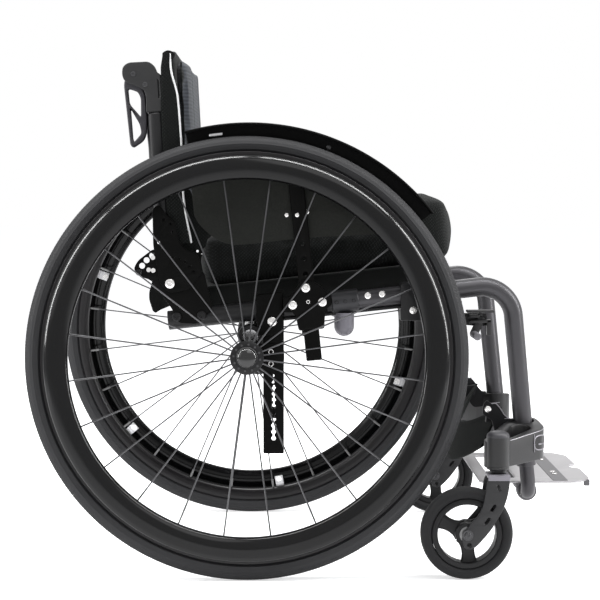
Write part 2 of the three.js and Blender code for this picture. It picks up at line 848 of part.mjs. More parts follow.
// Footrest: one tube bent down from each leg and across below the footplate
const footTubeWall = 2;
const footTubeTuck = 32;
const footBendRadius = 20;
const footBendSteps = 3;
const footplateThickness = 3;
const footplateSetIn = 19;
const footplateClampInset = 3;
const footplateRear = 66;
const footplateFront = 92;
const footplateCorner = 26;
const footplateWindowFrontShares = [0.1, 0.38];
const footplateWindowRearShares = [0.18, 0.72];
const footplateWindowHalfShare = 0.78;
const footplateNotch = 12;
const footplateClampWidth = 14;
const footplateClampRadius = 14;

const footplateHalfWidth = footTubeHalfSpacing - footplateSetIn;
const footplateClampEdge = footplateHalfWidth - footplateClampInset;

function footrestTube() {
  const near = onLeg(frontTubeEndHeight + footTubeTuck);
  const corners = [
    near,
    footCorner,
    point(footCorner.x, -footCorner.y, footCorner.z),
    point(near.x, -near.y, near.z),
  ];
  const route = bentPoints(corners, footBendRadius, footBendSteps);
  return tubeAlong(route, footTubeRadius, footTubeRadius - footTubeWall);
}

function footplate() {
  const low = footTubeHeight + footTubeRadius + runGap;
  const high = low + footplateThickness;
  const front = footTubeX + footplateFront;
  const rear = footTubeX - footplateRear;
  const outline = roundedShape(
    [
      [rear, -footplateHalfWidth],
      [front, -footplateHalfWidth],
      [front, -footplateNotch],
      [front - footplateNotch, -footplateNotch],
      [front - footplateNotch, footplateNotch],
      [front, footplateNotch],
      [front, footplateHalfWidth],
      [rear, footplateHalfWidth],
    ],
    footplateCorner,
  );
  const plate = flatPlate(outline, low, high, 3);
  const window = (from, to) => {
    const half = footplateHalfWidth * footplateWindowHalfShare;
    const shape = roundedShape(
      [
        [from, -half],
        [to, -half],
        [to, half],
        [from, half],
      ],
      footplateNotch / 2,
    );
    return flatPlate(shape, low - cutOverrun, high + cutOverrun);
  };
  const [frontFrom, frontTo] = footplateWindowFrontShares;
  const [rearFrom, rearTo] = footplateWindowRearShares;
  const frontWindow = window(footTubeX + footplateFront * frontFrom, footTubeX + footplateFront * frontTo);
  const rearWindow = window(footTubeX - footplateRear * rearTo, footTubeX - footplateRear * rearFrom);
  const axis = (y) => point(footTubeX, y, footTubeHeight);
  const clampLeft = rod(
    axis(footplateClampEdge - footplateClampWidth),
    axis(footplateClampEdge),
    footplateClampRadius,
  );
  const overTop = block(
    point(footTubeX - footplateClampRadius, -footplateHalfWidth - cutOverrun, high),
    point(footTubeX + footplateClampRadius, footplateHalfWidth + cutOverrun, high + footplateClampRadius),
  );
  const bore = rod(
    axis(-footplateHalfWidth - cutOverrun),
    axis(footplateHalfWidth + cutOverrun),
    boreFor(footTubeRadius, tubeSides),
  );
  const clamps = cut(joined(clampLeft, mirrored(clampLeft)), overTop);
  return cut(joined(cut(plate, frontWindow, rearWindow), clamps), bore);
}

// Calf strap: a fabric band hung between the frame legs, with a sleeve round each leg
const strapHeight = 56;
const strapThickness = 3;
const strapClearance = 5;
const strapSag = 62;
const strapDroop = 28;
const strapBodyDrop = 15;
const strapSteps = 12;
const strapSetBack = 24;
const strapEndInset = 18;
const strapSleeveHeight = 26;
const strapSleeveRadius = 16;

const strapTop = casterClampHigh + legCollarHeight + strapClearance + strapSleeveHeight;

function calfStrap() {
  const end = onLeg(strapTop);
  const lean = legDirection.x / legDirection.z;
  const half = end.y - strapEndInset;
  const back = end.x - strapSetBack;
  const edge = (offset) => {
    const points = [];
    for (let k = 0; k <= strapSteps; k += 1) {
      const y = half * ((2 * k) / strapSteps - 1);
      const sagShare = 1 - (y / half) ** 2;
      points.push(new THREE.Vector2(back - strapSag * sagShare + offset, y));
    }
    return points;
  };
  const shape = new THREE.Shape([...edge(0), ...edge(strapThickness).reverse()]);
  const geometry = new THREE.ExtrudeGeometry(shape, { depth: strapHeight, bevelEnabled: false });
  geometry.translate(0, 0, -strapHeight);
  geometry.applyMatrix4(new THREE.Matrix4().makeShear(0, 0, 0, 0, lean, 0));
  geometry.translate(0, 0, strapTop - strapBodyDrop);
  const places = geometry.getAttribute("position");
  for (let i = 0; i < places.count; i += 1) {
    places.setZ(i, places.getZ(i) - strapDroop * (1 - (places.getY(i) / half) ** 2));
  }
  const sleeve = rod(onLeg(strapTop - strapSleeveHeight), onLeg(strapTop), strapSleeveRadius);
  const tab = block(
    point(back - strapThickness, half - strapThickness, strapTop - strapSleeveHeight + strapThickness),
    point(end.x, half + strapThickness, strapTop - strapThickness),
  );
  const bore = rod(
    onLeg(strapTop - strapSleeveHeight - cutOverrun),
    onLeg(strapTop + cutOverrun),
    boreFor(frameTubeRadius, tubeSides),
  );
  const hanger = cut(joined(sleeve, tab), bore);
  return joined(solidOf(geometry), hanger, mirrored(hanger));
}

// Side guard: a textured panel, a fender over the tyre, and a post that lifts out of its receiver
const fenderClearance = 17;
const fenderThickness = 3;
const fenderBand = 30;
const fenderLip = 26;
const fenderStartDegrees = 38;
const fenderEndDegrees = 106;
const fenderSteps = 14;
const guardLowShares = [
  [0.611, 1.096],
  [0.537, 1.107],
  [0.499, 1.042],
  [0.479, 0.853],
  [0.578, 0.366],
  [0.766, 0.079],
  [0.898, 0.014],
  [0.995, 0.021],
];
const postWidth = 21;
const postThickness = 5;
const postTiltDegrees = 5.8;
const postBelowRail = 73.977;
const postAboveRail = 168.023;
const postFootAhead = 6;
const postHoleRadius = 2.6;
const postHolePitch = 20.3;
const postHoles = 3;
const postFirstHole = 118;
const receiverWall = 4.1;
const receiverShares = [
  [-0.44, -0.62],
  [0.3, -0.62],
  [0.46, -0.3],
  [0.5, 0.32],
  [0.2, 0.62],
  [-0.32, 0.7],
  [-0.72, 0.25],
  [-0.62, -0.2],
];

const fenderCentreX = 3;
const fenderRadius = tyreRadius + fenderClearance;
const panelTopRadius = fenderRadius - fenderThickness - fitGap;
const postNear = fenderBandNear;
const postFar = postNear + postThickness;
const postBottom = railHeight(receiverX) - postBelowRail;
const postTop = railHeight(receiverX) + postAboveRail;
const postBottomX = receiverX + postFootAhead;
const receiverOuterFace = postFar + fitGap + receiverWall;
const onFender = (radius, angle) => [
  fenderCentreX + radius * Math.cos(angle * degrees),
  axleHeight + radius * Math.sin(angle * degrees),
];

function arcPoints(radius, from, to, steps) {
  const points = [];
  for (let k = 0; k <= steps; k += 1) points.push(onFender(radius, from + ((to - from) * k) / steps));
  return points;
}

function guardPanel() {
  const sweep = fenderEndDegrees - fenderStartDegrees;
  const low = guardLowShares.map(([radiusShare, turnShare]) =>
    onFender(panelTopRadius * radiusShare, fenderStartDegrees + sweep * turnShare));
  const arc = arcPoints(panelTopRadius, fenderStartDegrees, fenderEndDegrees, fenderSteps);
  const shape = new THREE.Shape([...low, ...arc].map(([x, z]) => new THREE.Vector2(x, z)));
  return uprightPlate(shape, guardPanelFace, guardPanelFace + guardPanelThickness);
}

function fender() {
  const ringPart = (outer, inner, near, far) => {
    const points = [
      ...arcPoints(outer, fenderStartDegrees, fenderEndDegrees, fenderSteps),
      ...arcPoints(inner, fenderEndDegrees, fenderStartDegrees, fenderSteps),
    ];
    const shape = new THREE.Shape(points.map(([x, z]) => new THREE.Vector2(x, z)));
    return uprightPlate(shape, near, far);
  };
  const lipFar = fenderBandNear + fenderLip;
  const lip = ringPart(fenderRadius, fenderRadius - fenderThickness, guardPanelFace, lipFar);
  const band = ringPart(
    fenderRadius - fenderThickness / 2,
    fenderRadius - fenderBand,
    fenderBandNear,
    fenderBandFar,
  );
  return joined(lip, band);
}

const postTilt = Math.tan(postTiltDegrees * degrees);
const postX = (z) => postBottomX - (z - postBottom) * postTilt;

function postOutline(half, low, high) {
  return new THREE.Shape([
    new THREE.Vector2(postX(low) - half, low),
    new THREE.Vector2(postX(low) + half, low),
    new THREE.Vector2(postX(high) + half, high),
    new THREE.Vector2(postX(high) - half, high),
  ]);
}

function guardPost() {
  const bar = uprightPlate(postOutline(postWidth / 2, postBottom, postTop), postNear, postFar);
  const holes = [];
  for (let k = 0; k < postHoles; k += 1) {
    const z = postBottom + postFirstHole + k * postHolePitch;
    holes.push(pinHole(postX(z), z, postHoleRadius, postNear, postFar, 6));
  }
  return cut(bar, ...holes);
}

function guardReceiver() {
  const middle = railHeight(receiverX);
  const outline = receiverShares.map(([x, z]) => [receiverX + x * receiverSize, middle + z * receiverSize]);
  const body = uprightPlate(
    roundedShape(outline, railClampCorner),
    railOuterFace + fitGap,
    receiverOuterFace,
  );
  const slot = uprightPlate(
    postOutline(postWidth / 2 + fitGap, middle - receiverSize, middle + receiverSize),
    postNear - fitGap,
    postFar + fitGap,
  );
  return cut(body, slot);
}

// Push-to-lock brake: a clamp with a bracket plate, and a lever that carries the shoe bar
const brakePlateThickness = 5.5;
const brakePlateDepth = 18;
const brakePivotDrop = 43.66;
const brakePivotRadius = 4;
const brakeBossRadius = 9;
const brakeArmThickness = 5;
const brakeShoeDrop = 19;
const brakeShoeOverrun = 2;
const brakeHandleBack = 20;
const brakeHandleAhead = 12.5;
const brakeHandleWidth = 18;
const brakeHandleThickness = 4;
const brakeHandleRise = 14;

const brakePlateFar = railOuterFace;
const brakePlateNear = brakePlateFar - brakePlateThickness;
const brakePivotHeight = railHeight(brakePivotX) - brakePivotDrop;
const brakeShoeHeight = brakePivotHeight - brakeShoeDrop;
const brakeShoeReach = wheelTrack / 2 + brakeShoeOverrun;

function brakeMount() {
  const from = brakeClampX - brakeClampLength / 2;
  const to = brakeClampX + brakeClampLength / 2;
  const middle = railHeight(brakeClampX);
  const clampShape = roundedShape(
    [
      [from, middle - clampReach - brakePlateDepth],
      [to, middle - clampReach - brakePlateDepth],
      [to, middle + clampReach],
      [from, middle + clampReach - brakeClampLength * railRise],
    ],
    railClampCorner,
  );
  const clamp = uprightPlate(clampShape, clampInnerFace, railHalfSpacing + clampReach);
  const plateShape = roundedShape(
    [
      [brakeClampX, middle - clampReach - brakePlateDepth],
      [brakePivotX, brakePivotHeight - brakeBossRadius],
      [brakePivotX + brakeBossRadius, brakePivotHeight - brakeBossRadius],
      [brakePivotX + brakeBossRadius, brakePivotHeight + brakeBossRadius],
      [brakeClampX, brakePivotHeight + brakeBossRadius],
    ],
    clampWall,
  );
  const plate = uprightPlate(plateShape, brakePlateNear, brakePlateFar);
  const pin = rod(
    point(brakePivotX, brakePlateNear, brakePivotHeight),
    point(brakePivotX, brakePlateFar + fitGap + brakeArmThickness, brakePivotHeight),
    brakePivotRadius,
    boltSides,
  );
  return joined(cut(joined(clamp, plate), railBore(from, to)), pin);
}

function brakeLever() {
  const near = brakePlateFar + fitGap;
  const far = near + brakeArmThickness;
  const pivot = new THREE.Vector2(brakePivotX, brakePivotHeight);
  const shoe = new THREE.Vector2(brakeShoeX, brakeShoeHeight);
  const armShape = twoCircleShape(pivot, brakeBossRadius, shoe, brakeShoeRadius + clampWall);
  const arm = uprightPlate(armShape, near, far, 4);
  const bar = rod(
    point(brakeShoeX, near, brakeShoeHeight),
    point(brakeShoeX, brakeShoeReach, brakeShoeHeight),
    brakeShoeRadius,
    boltSides,
  );
  const handleTop = brakePivotHeight + brakeHandleRise;
  const handle = block(
    point(brakePivotX - brakeHandleBack, near, handleTop - brakeHandleThickness),
    point(brakePivotX + brakeHandleAhead, near + brakeHandleWidth, handleTop),
  );
  const stalk = block(
    point(brakePivotX - brakePivotRadius, near, brakePivotHeight),
    point(brakePivotX + brakePivotRadius, far, handleTop),
  );
  const bore = pinHole(brakePivotX, brakePivotHeight, boreFor(brakePivotRadius, boltSides), near, far);
  return cut(joined(arm, stalk, handle), bore).add(bar);
}

// Seat sling: a fabric sheet with side skirts laced to the rail clamps
const slingHeight = 36.5;
const slingThickness = 3;
const slingSetIn = 38.5;
const slingOverhang = 6;
const slingSkirtDrop = 6;
const slingTailShares = [
  [0, -0.1],
  [-0.36, 0.05],
  [-0.6, 0.24],
  [-0.82, 0.14],
  [-0.92, 0.07],
  [-1, 0.14],
  [-1, 0.66],
  [-0.97, 0.92],
  [-0.6, 0.92],
  [0, 0.64],
];
const slingTailLength = 66;
const slingTailHeight = 60;

const slingRear = backPivotX + slingSetIn;
const slingFront = railVeerX + slingOverhang;
const skirtOuterFace = clampInnerFace - fitGap;

function seatSling() {
  const top = (x) => railHeight(x) + slingHeight + slingThickness;
  const sheetShape = new THREE.Shape([
    new THREE.Vector2(slingRear, top(slingRear) - slingThickness),
    new THREE.Vector2(slingFront, top(slingFront) - slingThickness),
    new THREE.Vector2(slingFront, top(slingFront)),
    new THREE.Vector2(slingRear, top(slingRear)),
  ]);
  const sheet = uprightPlate(sheetShape, -skirtOuterFace, skirtOuterFace);
  const tail = slingTailShares.map(([x, z]) => [
    slingRear + x * slingTailLength,
    railHeight(slingRear) + z * slingTailHeight,
  ]);
  const skirtShape = roundedShape(
    [
      [slingFront, railHeight(slingFront) - slingSkirtDrop],
      [slingFront, top(slingFront)],
      [slingRear, top(slingRear)],
      ...tail.reverse(),
    ],
    slingThickness,
  );
  const skirt = uprightPlate(skirtShape, skirtOuterFace - slingThickness, skirtOuterFace);
  return joined(sheet, skirt, mirrored(skirt));
}

// A soft block made from a box that is pushed out to a crown and drawn in at its sides.
function softBlock(divisions, shapePoint) {
  const geometry = new THREE.BoxGeometry(2, 2, 2, ...divisions);
  const places = geometry.getAttribute("position");
  for (let i = 0; i < places.count; i += 1) {
    const moved = shapePoint(places.getX(i), places.getY(i), places.getZ(i));
    places.setXYZ(i, moved.x, moved.y, moved.z);
  }
  return solidOf(geometry);
}

// Seat cushion
const cushionSetIn = 14;
const cushionRearOverhang = 5;
const cushionOverhang = 20;
const cushionRearHeight = 72;
const cushionFrontHeight = 99;
const cushionFrontLean = 10;
const cushionCrown = 8;
const cushionDrawIn = 7;
const cushionEdgeRound = 9;
const cushionChannelDepth = 3;
const cushionChannelShare = 0.42;
const cushionChannelWidthShare = 0.12;

const cushionHalfWidth = railHalfSpacing - cushionSetIn;
const cushionRear = slingRear - cushionRearOverhang;
const cushionFront = slingFront + cushionOverhang;
const cushionBottom = (x) => railHeight(x) + slingHeight + slingThickness + fitGap;

function cushion() {
  const length = cushionFront - cushionRear;
  return softBlock([10, 12, 4], (a, b, c) => {
    const corner = (c ** 4) * cushionEdgeRound;
    const lean = cushionFrontLean * Math.max(a, 0) * ((c + 1) / 2);
    const x = (cushionFront + cushionRear) / 2 + a * (length / 2 - corner) - lean;
    const drawn = cushionDrawIn * (1 - a * a);
    const y = b * (cushionHalfWidth - drawn * (1 - c * c * 0.5) - corner * 0.5);
    const share = (x - cushionRear) / length;
    const height = cushionRearHeight + (cushionFrontHeight - cushionRearHeight) * share;
    const crown = cushionCrown * (1 - a ** 4) * (1 - b ** 4) - cushionCrown * (a ** 4 + b ** 4) * 0.5;
    const apart = (Math.abs(b) - cushionChannelShare) / cushionChannelWidthShare;
    const channel = cushionChannelDepth * Math.exp(-apart * apart) * (1 - a ** 4);
    const lift = ((c + 1) / 2) * (height - cushionCrown + (c > 0 ? crown - channel : 0));
    return point(x, y, cushionBottom(x) + lift);
  });
}

// Backrest, drawn in its own frame: n forwards of the pivot line, t along the backrest
const caneRadius = 11.5;
const caneWall = 2;
const caneOffset = -5.5;
const caneStart = 62;
const caneTopDrop = 85;
const pivotPlateShares = [
  [-0.82, 0.18],
  [-1.12, 0.42],
  [-0.97, 0.7],
  [-0.48, 1.07],
  [-0.1, 0.82],
  [0.5, 0.6],
  [1.04, 0.35],
  [1.13, -0.1],
  [1.3, -0.73],
  [0.85, -1.23],
  [0.23, -1.2],
  [0.07, -0.79],
  [-0.57, 0.1],
];
const quadrantRadius = 44.5;
const quadrantHoleRadius = 4;
const quadrantHoleDegrees = [160, 147.5, 135, 122.5];
const canePlateShares = [
  [-0.4, 2.3],
  [-0.2, 2.42],
  [0.04, 2.05],
  [0.27, 1.83],
  [0.33, 1.29],
  [0.51, 1],
  [0.87, 0.88],
  [1.03, 0.35],
  [0.6, -0.2],
  [0, -0.3],
  [-0.3, 0],
  [-0.44, 1.17],
];
const adjustHoleDegrees = [24, 36, 48, 60, 72];
const adjustHoleRadius = 1.9;
const adjustHoleShares = [0.8];
const backPivotScrewRadius = 5;
const backPivotHeadRadius = 8;
const backPivotHeadHeight = 3;
const caneBlockHeight = 34;

const caneEnd = backLength - caneTopDrop;
const backTurn = -backLeanDegrees * degrees;

// Points of the backrest's own frame, as x and z of the chair.
const onBack = (n, t) => [
  backPivotX + n * Math.cos(backTurn) + t * Math.sin(backTurn),
  backPivotHeight - n * Math.sin(backTurn) + t * Math.cos(backTurn),
];
const backPoint = (n, y, t) => {
  const [x, z] = onBack(n, t);
  return point(x, y, z);
};

function backPivotPlate() {
  const outline = pivotPlateShares.map(([n, t]) => [
    backPivotX + n * quadrantRadius,
    backPivotHeight + t * quadrantRadius,
  ]);
  const plate = uprightPlate(
    roundedShape(outline, clampWall),
    pivotPlateNear,
    pivotPlateNear + backPlateThickness,
  );
  const holes = quadrantHoleDegrees.map((angle) => {
    const x = backPivotX + quadrantRadius * Math.cos(angle * degrees);
    const z = backPivotHeight + quadrantRadius * Math.sin(angle * degrees);
    return pinHole(x, z, quadrantHoleRadius, pivotPlateNear, canePlateNear);
  });
  const pivotBore = pinHole(
    backPivotX,
    backPivotHeight,
    boreFor(backPivotScrewRadius, boltSides),
    pivotPlateNear,
    canePlateNear,
  );
  return cut(plate, pivotBore, ...holes);
}

function backCane() {
  const tube = tubeAlong(
    [backPoint(caneOffset, railHalfSpacing, caneStart), backPoint(caneOffset, railHalfSpacing, caneEnd)],
    caneRadius,
    caneRadius - caneWall,
  );
  const outline = canePlateShares.map(([n, t]) => onBack(n * quadrantRadius, t * quadrantRadius));
  const plateFar = canePlateNear + backPlateThickness;
  const plate = uprightPlate(roundedShape(outline, clampWall), canePlateNear, plateFar);
  const low = caneStart;
  const high = caneStart + caneBlockHeight;
  const left = caneOffset - caneRadius / 2;
  const right = caneOffset + caneRadius / 2;
  const bridge = uprightPlate(
    new THREE.Shape([onBack(left, low), onBack(right, low), onBack(right, high), onBack(left, high)]
      .map(([x, z]) => new THREE.Vector2(x, z))),
    railHalfSpacing + caneRadius - caneWall,
    plateFar,
  );
  const adjustHoles = adjustHoleShares.flatMap((share) =>
    adjustHoleDegrees.map((angle) => {
      const reach = share * quadrantRadius;
      const [x, z] = onBack(reach * Math.cos(angle * degrees), reach * Math.sin(angle * degrees));
      return pinHole(x, z, adjustHoleRadius, canePlateNear, plateFar, 5);
    }),
  );
  const screw = rod(
    point(backPivotX, pivotPlateNear, backPivotHeight),
    point(backPivotX, plateFar, backPivotHeight),
    backPivotScrewRadius,
    boltSides,
  );
  const head = rod(
    point(backPivotX, plateFar, backPivotHeight),
    point(backPivotX, plateFar + backPivotHeadHeight, backPivotHeight),
    backPivotHeadRadius,
  );
  return joined(tube, bridge, cut(plate, ...adjustHoles), screw, head);
}

const crossBarRadius = 7;
const crossBarRise = 22;

function backCrossBar() {
  const end = railHalfSpacing - caneRadius - fitGap;
  const place = caneStart + crossBarRise;
  return rod(backPoint(caneOffset, -end, place), backPoint(caneOffset, end, place), crossBarRadius);
}

// Back upholstery: a firm fabric back laced in front of the canes, and a soft pad before it
const backOverhang = 10;
const backShellThickness = 18;
const backShellRise = 38;
const backPadClearance = 2.326;
const backPadThickness = 14;
const backPadTopDrop = 8;
const backPadSetIn = 8;
const backPadCrown = 6;
const backPadRows = 12;
const backTopRound = 10;

const backShellRear = caneOffset + caneRadius + fitGap;
const backShellStart = caneStart + backShellRise;
const backHalfWidth = railHalfSpacing + backOverhang;
const backPadHalfWidth = backHalfWidth - backPadSetIn;
const backPadStart = cushionBottom(cushionRear) + cushionRearHeight + backPadClearance - backPivotHeight;

function backShell() {
  return softBlock([2, 8, 6], (a, b, c) => {
    const roundOff = backTopRound * (a ** 4) * (c > 0 ? c ** 4 : 0);
    const t = (backShellStart + backLength) / 2 + c * ((backLength - backShellStart) / 2) - roundOff * 0.6;
    const tuck = (c > 0 ? c ** 4 : 0) * backTopRound * (a + 1) * 0.2;
    const n = backShellRear + ((a + 1) / 2) * backShellThickness - tuck;
    const y = b * (backHalfWidth - backTopRound * (c > 0 ? c ** 6 : 0) - cushionDrawIn * 0.4 * a * a);
    return backPoint(n, y, t);
  });
}

function backPad() {
  const rear = backShellRear + backShellThickness + fitGap;
  const high = backLength - backPadTopDrop;
  return softBlock([3, 10, backPadRows], (a, b, c) => {
    const edge = Math.max(Math.abs(b), Math.abs(c)) ** 6;
    const front = rear + backPadThickness + backPadCrown * (1 - b ** 4) * (1 - c ** 4) - edge * backTopRound;
    const drop = edge * 0.3 * backTopRound * (a + 1) / 2;
    const t = (backPadStart + high) / 2 + c * ((high - backPadStart) / 2 - drop);
    const isLow = t + (high - backPadStart) / backPadRows < backShellStart;
    const back = isLow ? backShellRear : rear;
    const n = back + ((a + 1) / 2) * (front - back);
    const y = b * (backPadHalfWidth - (edge * backTopRound * (a + 1)) / 4);
    return backPoint(n, y, t);
  });
}

// Push handle: a bracket on top of each cane and a folding skeleton grip
const bracketHalfWidth = 11.5;
const bracketCorner = 8;
const bracketShares = [
  [-0.33, 0],
  [0.33, 0],
  [0.24, 0.17],
  [0.24, 0.74],
  [0.02, 0.78],
  [-0.1, 0.92],
  [-0.3, 1],
  [-1.01, 1],
  [-1.24, 0.92],
  [-1.28, 0.76],
  [-1.19, 0.63],
  [-0.61, 0.49],
  [-0.36, 0.41],
];
const bracketSize = 68;
const bracketWidthSize = 34;
const gripPivotSetBack = 28;
const gripPivotRise = 53.5;
const gripPinRadius = 3.5;
const gripHalfWidth = 8;
const gripLength = 104;
const gripWidth = 30;
const gripShares = [
  [-0.47, -0.12],
  [-0.3, 0],
  [-0.17, 0.077],
  [0.17, 0.077],
  [0.28, 0],
  [0.38, -0.2],
  [0.48, -0.32],
  [0.48, -0.62],
  [0.42, -0.79],
  [0.26, -0.88],
  [-0.21, -0.96],
  [-0.33, -0.92],
];
const gripWindowShares = [
  [
    [-0.3, -0.19],
    [0.14, -0.24],
    [0.26, -0.32],
    [0.22, -0.57],
    [-0.27, -0.39],
  ],
  [
    [-0.23, -0.45],
    [0.15, -0.66],
    [0.2, -0.78],
    [-0.14, -0.88],
    [-0.2, -0.85],
  ],
];
const gripSlotFront = 13.5;
const gripSlotReach = 30;

const gripPivotN = caneOffset - gripPivotSetBack;
const gripPivotT = caneEnd + gripPivotRise;

function handleBracket() {
  const start = caneEnd + fitGap;
  const outline = bracketShares.map(([n, t]) =>
    onBack(caneOffset + n * bracketWidthSize, start + t * bracketSize));
  const body = uprightPlate(
    roundedShape(outline, bracketCorner),
    railHalfSpacing - bracketHalfWidth,
    railHalfSpacing + bracketHalfWidth,
  );
  const slotShape = [
    onBack(gripPivotN - gripSlotReach, gripPivotT - gripSlotReach),
    onBack(gripPivotN + gripSlotFront, gripPivotT - gripSlotReach),
    onBack(gripPivotN + gripSlotFront, gripPivotT + gripSlotReach),
    onBack(gripPivotN - gripSlotReach, gripPivotT + gripSlotReach),
  ];
  const slot = uprightPlate(
    new THREE.Shape(slotShape.map(([x, z]) => new THREE.Vector2(x, z))),
    railHalfSpacing - gripHalfWidth - fitGap,
    railHalfSpacing + gripHalfWidth + fitGap,
  );
  const pin = rod(
    backPoint(gripPivotN, railHalfSpacing - bracketHalfWidth + fitGap, gripPivotT),
    backPoint(gripPivotN, railHalfSpacing + bracketHalfWidth - fitGap, gripPivotT),
    gripPinRadius,
    boltSides,
  );
  return joined(cut(body, slot), pin);
}

function handleGrip() {
  const place = ([n, t]) => onBack(gripPivotN + n * gripWidth, gripPivotT + t * gripLength);
  const near = railHalfSpacing - gripHalfWidth;
  const far = railHalfSpacing + gripHalfWidth;
  const body = uprightPlate(roundedShape(gripShares.map(place), gripHalfWidth), near, far);
  const windows = gripWindowShares.map((window) =>
    uprightPlate(roundedShape(window.map(place), gripHalfWidth / 2), near - cutOverrun, far + cutOverrun));
  const bore = rod(
    backPoint(gripPivotN, railHalfSpacing - bracketHalfWidth, gripPivotT),
    backPoint(gripPivotN, railHalfSpacing + bracketHalfWidth, gripPivotT),
    boreFor(gripPinRadius, boltSides),
    boltSides,
  );
  return cut(body, bore, ...windows);
}

// Middle pieces
addPiece(wheelchair, "cross_tube", crossTube(), paleMetal);
addPiece(wheelchair, "footrest_tube", footrestTube(), greySatin);
addPiece(wheelchair, "footplate", footplate(), paleMetal);
addPiece(wheelchair, "calf_strap", calfStrap(), strapFabric);
addPiece(wheelchair, "seat_sling", seatSling(), strapFabric);
addPiece(wheelchair, "seat_cushion", cushion(), meshFabric);
addPiece(wheelchair, "back_cross_bar", backCrossBar(), blackAnodised);
addPiece(wheelchair, "back_shell", backShell(), meshFabric);
addPiece(wheelchair, "back_pad", backPad(), ribbedFabric);

// Side pieces
for (const [sideName, sign] of [["left", 1], ["right", -1]]) {
  const half = new THREE.Group();
  half.scale.y = sign;
  wheelchair.add(half);
  const add = (name, solid, material) => addPiece(half, `${name}_${sideName}`, solid, material);

  const wheel = new THREE.Group();
  wheel.position.set(0, wheelTrack / 2, axleHeight);
  wheel.rotation.x = camber;
  half.add(wheel);
  addPiece(wheel, `rear_tyre_${sideName}`, tyre(), tyreRubber);
  addPiece(wheel, `rear_rim_${sideName}`, rim(), blackAnodised);
  addPiece(wheel, `hub_and_spokes_${sideName}`, hubAndSpokes(), blackSteel);
  addPiece(wheel, `hand_rim_${sideName}`, handRim(), glossBlack);
  addPiece(wheel, `release_axle_${sideName}`, releaseAxle(), paleMetal);
  addPiece(wheel, `release_button_${sideName}`, releaseButton(), glossBlack);

  add("axle_bar", axleBar(), blackAnodised);
  add("axle_carrier", axleCarrier(), blackAnodised);
  add("rear_frame_tube", rearFrameTube(), blackAnodised);
  add("front_frame_tube", frontFrameTube(), greySatin);
  add("frame_collar", frameCollar(), greySatin);
  add("caster_clamp", casterClamp(), greySatin);
  add("caster_fork", casterFork(), greySatin);

  const caster = new THREE.Group();
  caster.position.set(casterAxleX, casterY, casterRadius);
  half.add(caster);
  addPiece(caster, `caster_tyre_${sideName}`, casterTyre(), tyreRubber);
  addPiece(caster, `caster_hub_${sideName}`, casterHub(), blackPlastic);

  add("guard_panel", guardPanel(), blackPlastic);
  add("guard_fender", fender(), blackPlastic);
  add("guard_post", guardPost(), blackAnodised);
  add("guard_receiver", guardReceiver(), blackAnodised);
  add("brake_mount", brakeMount(), blackAnodised);
  add("brake_lever", brakeLever(), greySatin);
  add("back_pivot_plate", backPivotPlate(), blackAnodised);
  add("back_cane", backCane(), blackAnodised);
  add("handle_bracket", handleBracket(), blackPlastic);
  add("handle_grip", handleGrip(), blackPlastic);
}

// The origin lies on the floor, midway between the rear tyre's back and the footplate's front.
wheelchair.position.x = (tyreRadius - footTubeX - footplateFront) / 2;

export default wheelchair;
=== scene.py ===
import math

import bmesh
import bpy
import numpy as np
from mathutils import Matrix, Vector


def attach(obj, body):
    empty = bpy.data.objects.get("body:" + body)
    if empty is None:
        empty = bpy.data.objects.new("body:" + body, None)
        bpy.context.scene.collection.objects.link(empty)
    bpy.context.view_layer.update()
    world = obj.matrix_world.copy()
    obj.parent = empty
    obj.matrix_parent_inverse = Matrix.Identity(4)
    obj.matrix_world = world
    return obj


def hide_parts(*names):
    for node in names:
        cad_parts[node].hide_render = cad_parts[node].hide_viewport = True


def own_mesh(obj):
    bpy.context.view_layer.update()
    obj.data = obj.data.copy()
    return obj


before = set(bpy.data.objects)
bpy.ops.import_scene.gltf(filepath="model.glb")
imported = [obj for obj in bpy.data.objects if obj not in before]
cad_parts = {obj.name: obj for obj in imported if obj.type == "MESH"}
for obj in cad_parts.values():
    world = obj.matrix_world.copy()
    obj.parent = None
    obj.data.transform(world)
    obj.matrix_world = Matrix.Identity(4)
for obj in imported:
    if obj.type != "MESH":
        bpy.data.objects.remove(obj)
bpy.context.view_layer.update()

# The studio. A pale floor and a white background stand round the chair, and
# soft lamps hang above it. The camera looks from the chair's right, as the
# photographer did, a little above the seat.
AXLE_X = -0.09225
scene = bpy.context.scene
scene.view_settings.view_transform = "Standard"

side_camera = bpy.data.cameras.new("side_camera")
side_camera.sensor_width = 36
side_camera.lens = 116.64
side_camera.clip_end = 60
camera = bpy.data.objects.new("side_camera", side_camera)
camera.location = (AXLE_X + 0.0397, -2.824, 0.527)
camera.rotation_euler = (math.radians(90 - 3.47), 0, -math.radians(0.68))
scene.collection.objects.link(camera)
scene.camera = camera


def node(tree, kind, links=(), **values):
    """A shader node of this kind, with its values set and its inputs joined to other sockets."""
    made = tree.nodes.new("ShaderNode" + kind)
    for key, value in values.items():
        setattr(made, key, value)
    for place, source in dict(links).items():
        if isinstance(source, bpy.types.NodeSocket):
            tree.links.new(source, made.inputs[place])
        else:
            made.inputs[place].default_value = source
    return made


def sum_up(tree, how, *values, **more):
    """A math node that does one sum with its inputs, and the socket its result comes out of."""
    return node(tree, "Math", dict(enumerate(values)), operation=how, **more).outputs[0]


def backdrop_share(tree):
    """1 on rays from the camera, or that mirror-like surfaces send back, and 0 on the rest."""
    path = node(tree, "LightPath")
    seen = sum_up(tree, "ADD", path.outputs["Is Camera Ray"], path.outputs["Is Glossy Ray"])
    return sum_up(tree, "ADD", seen, path.outputs["Is Transmission Ray"], use_clamp=True)


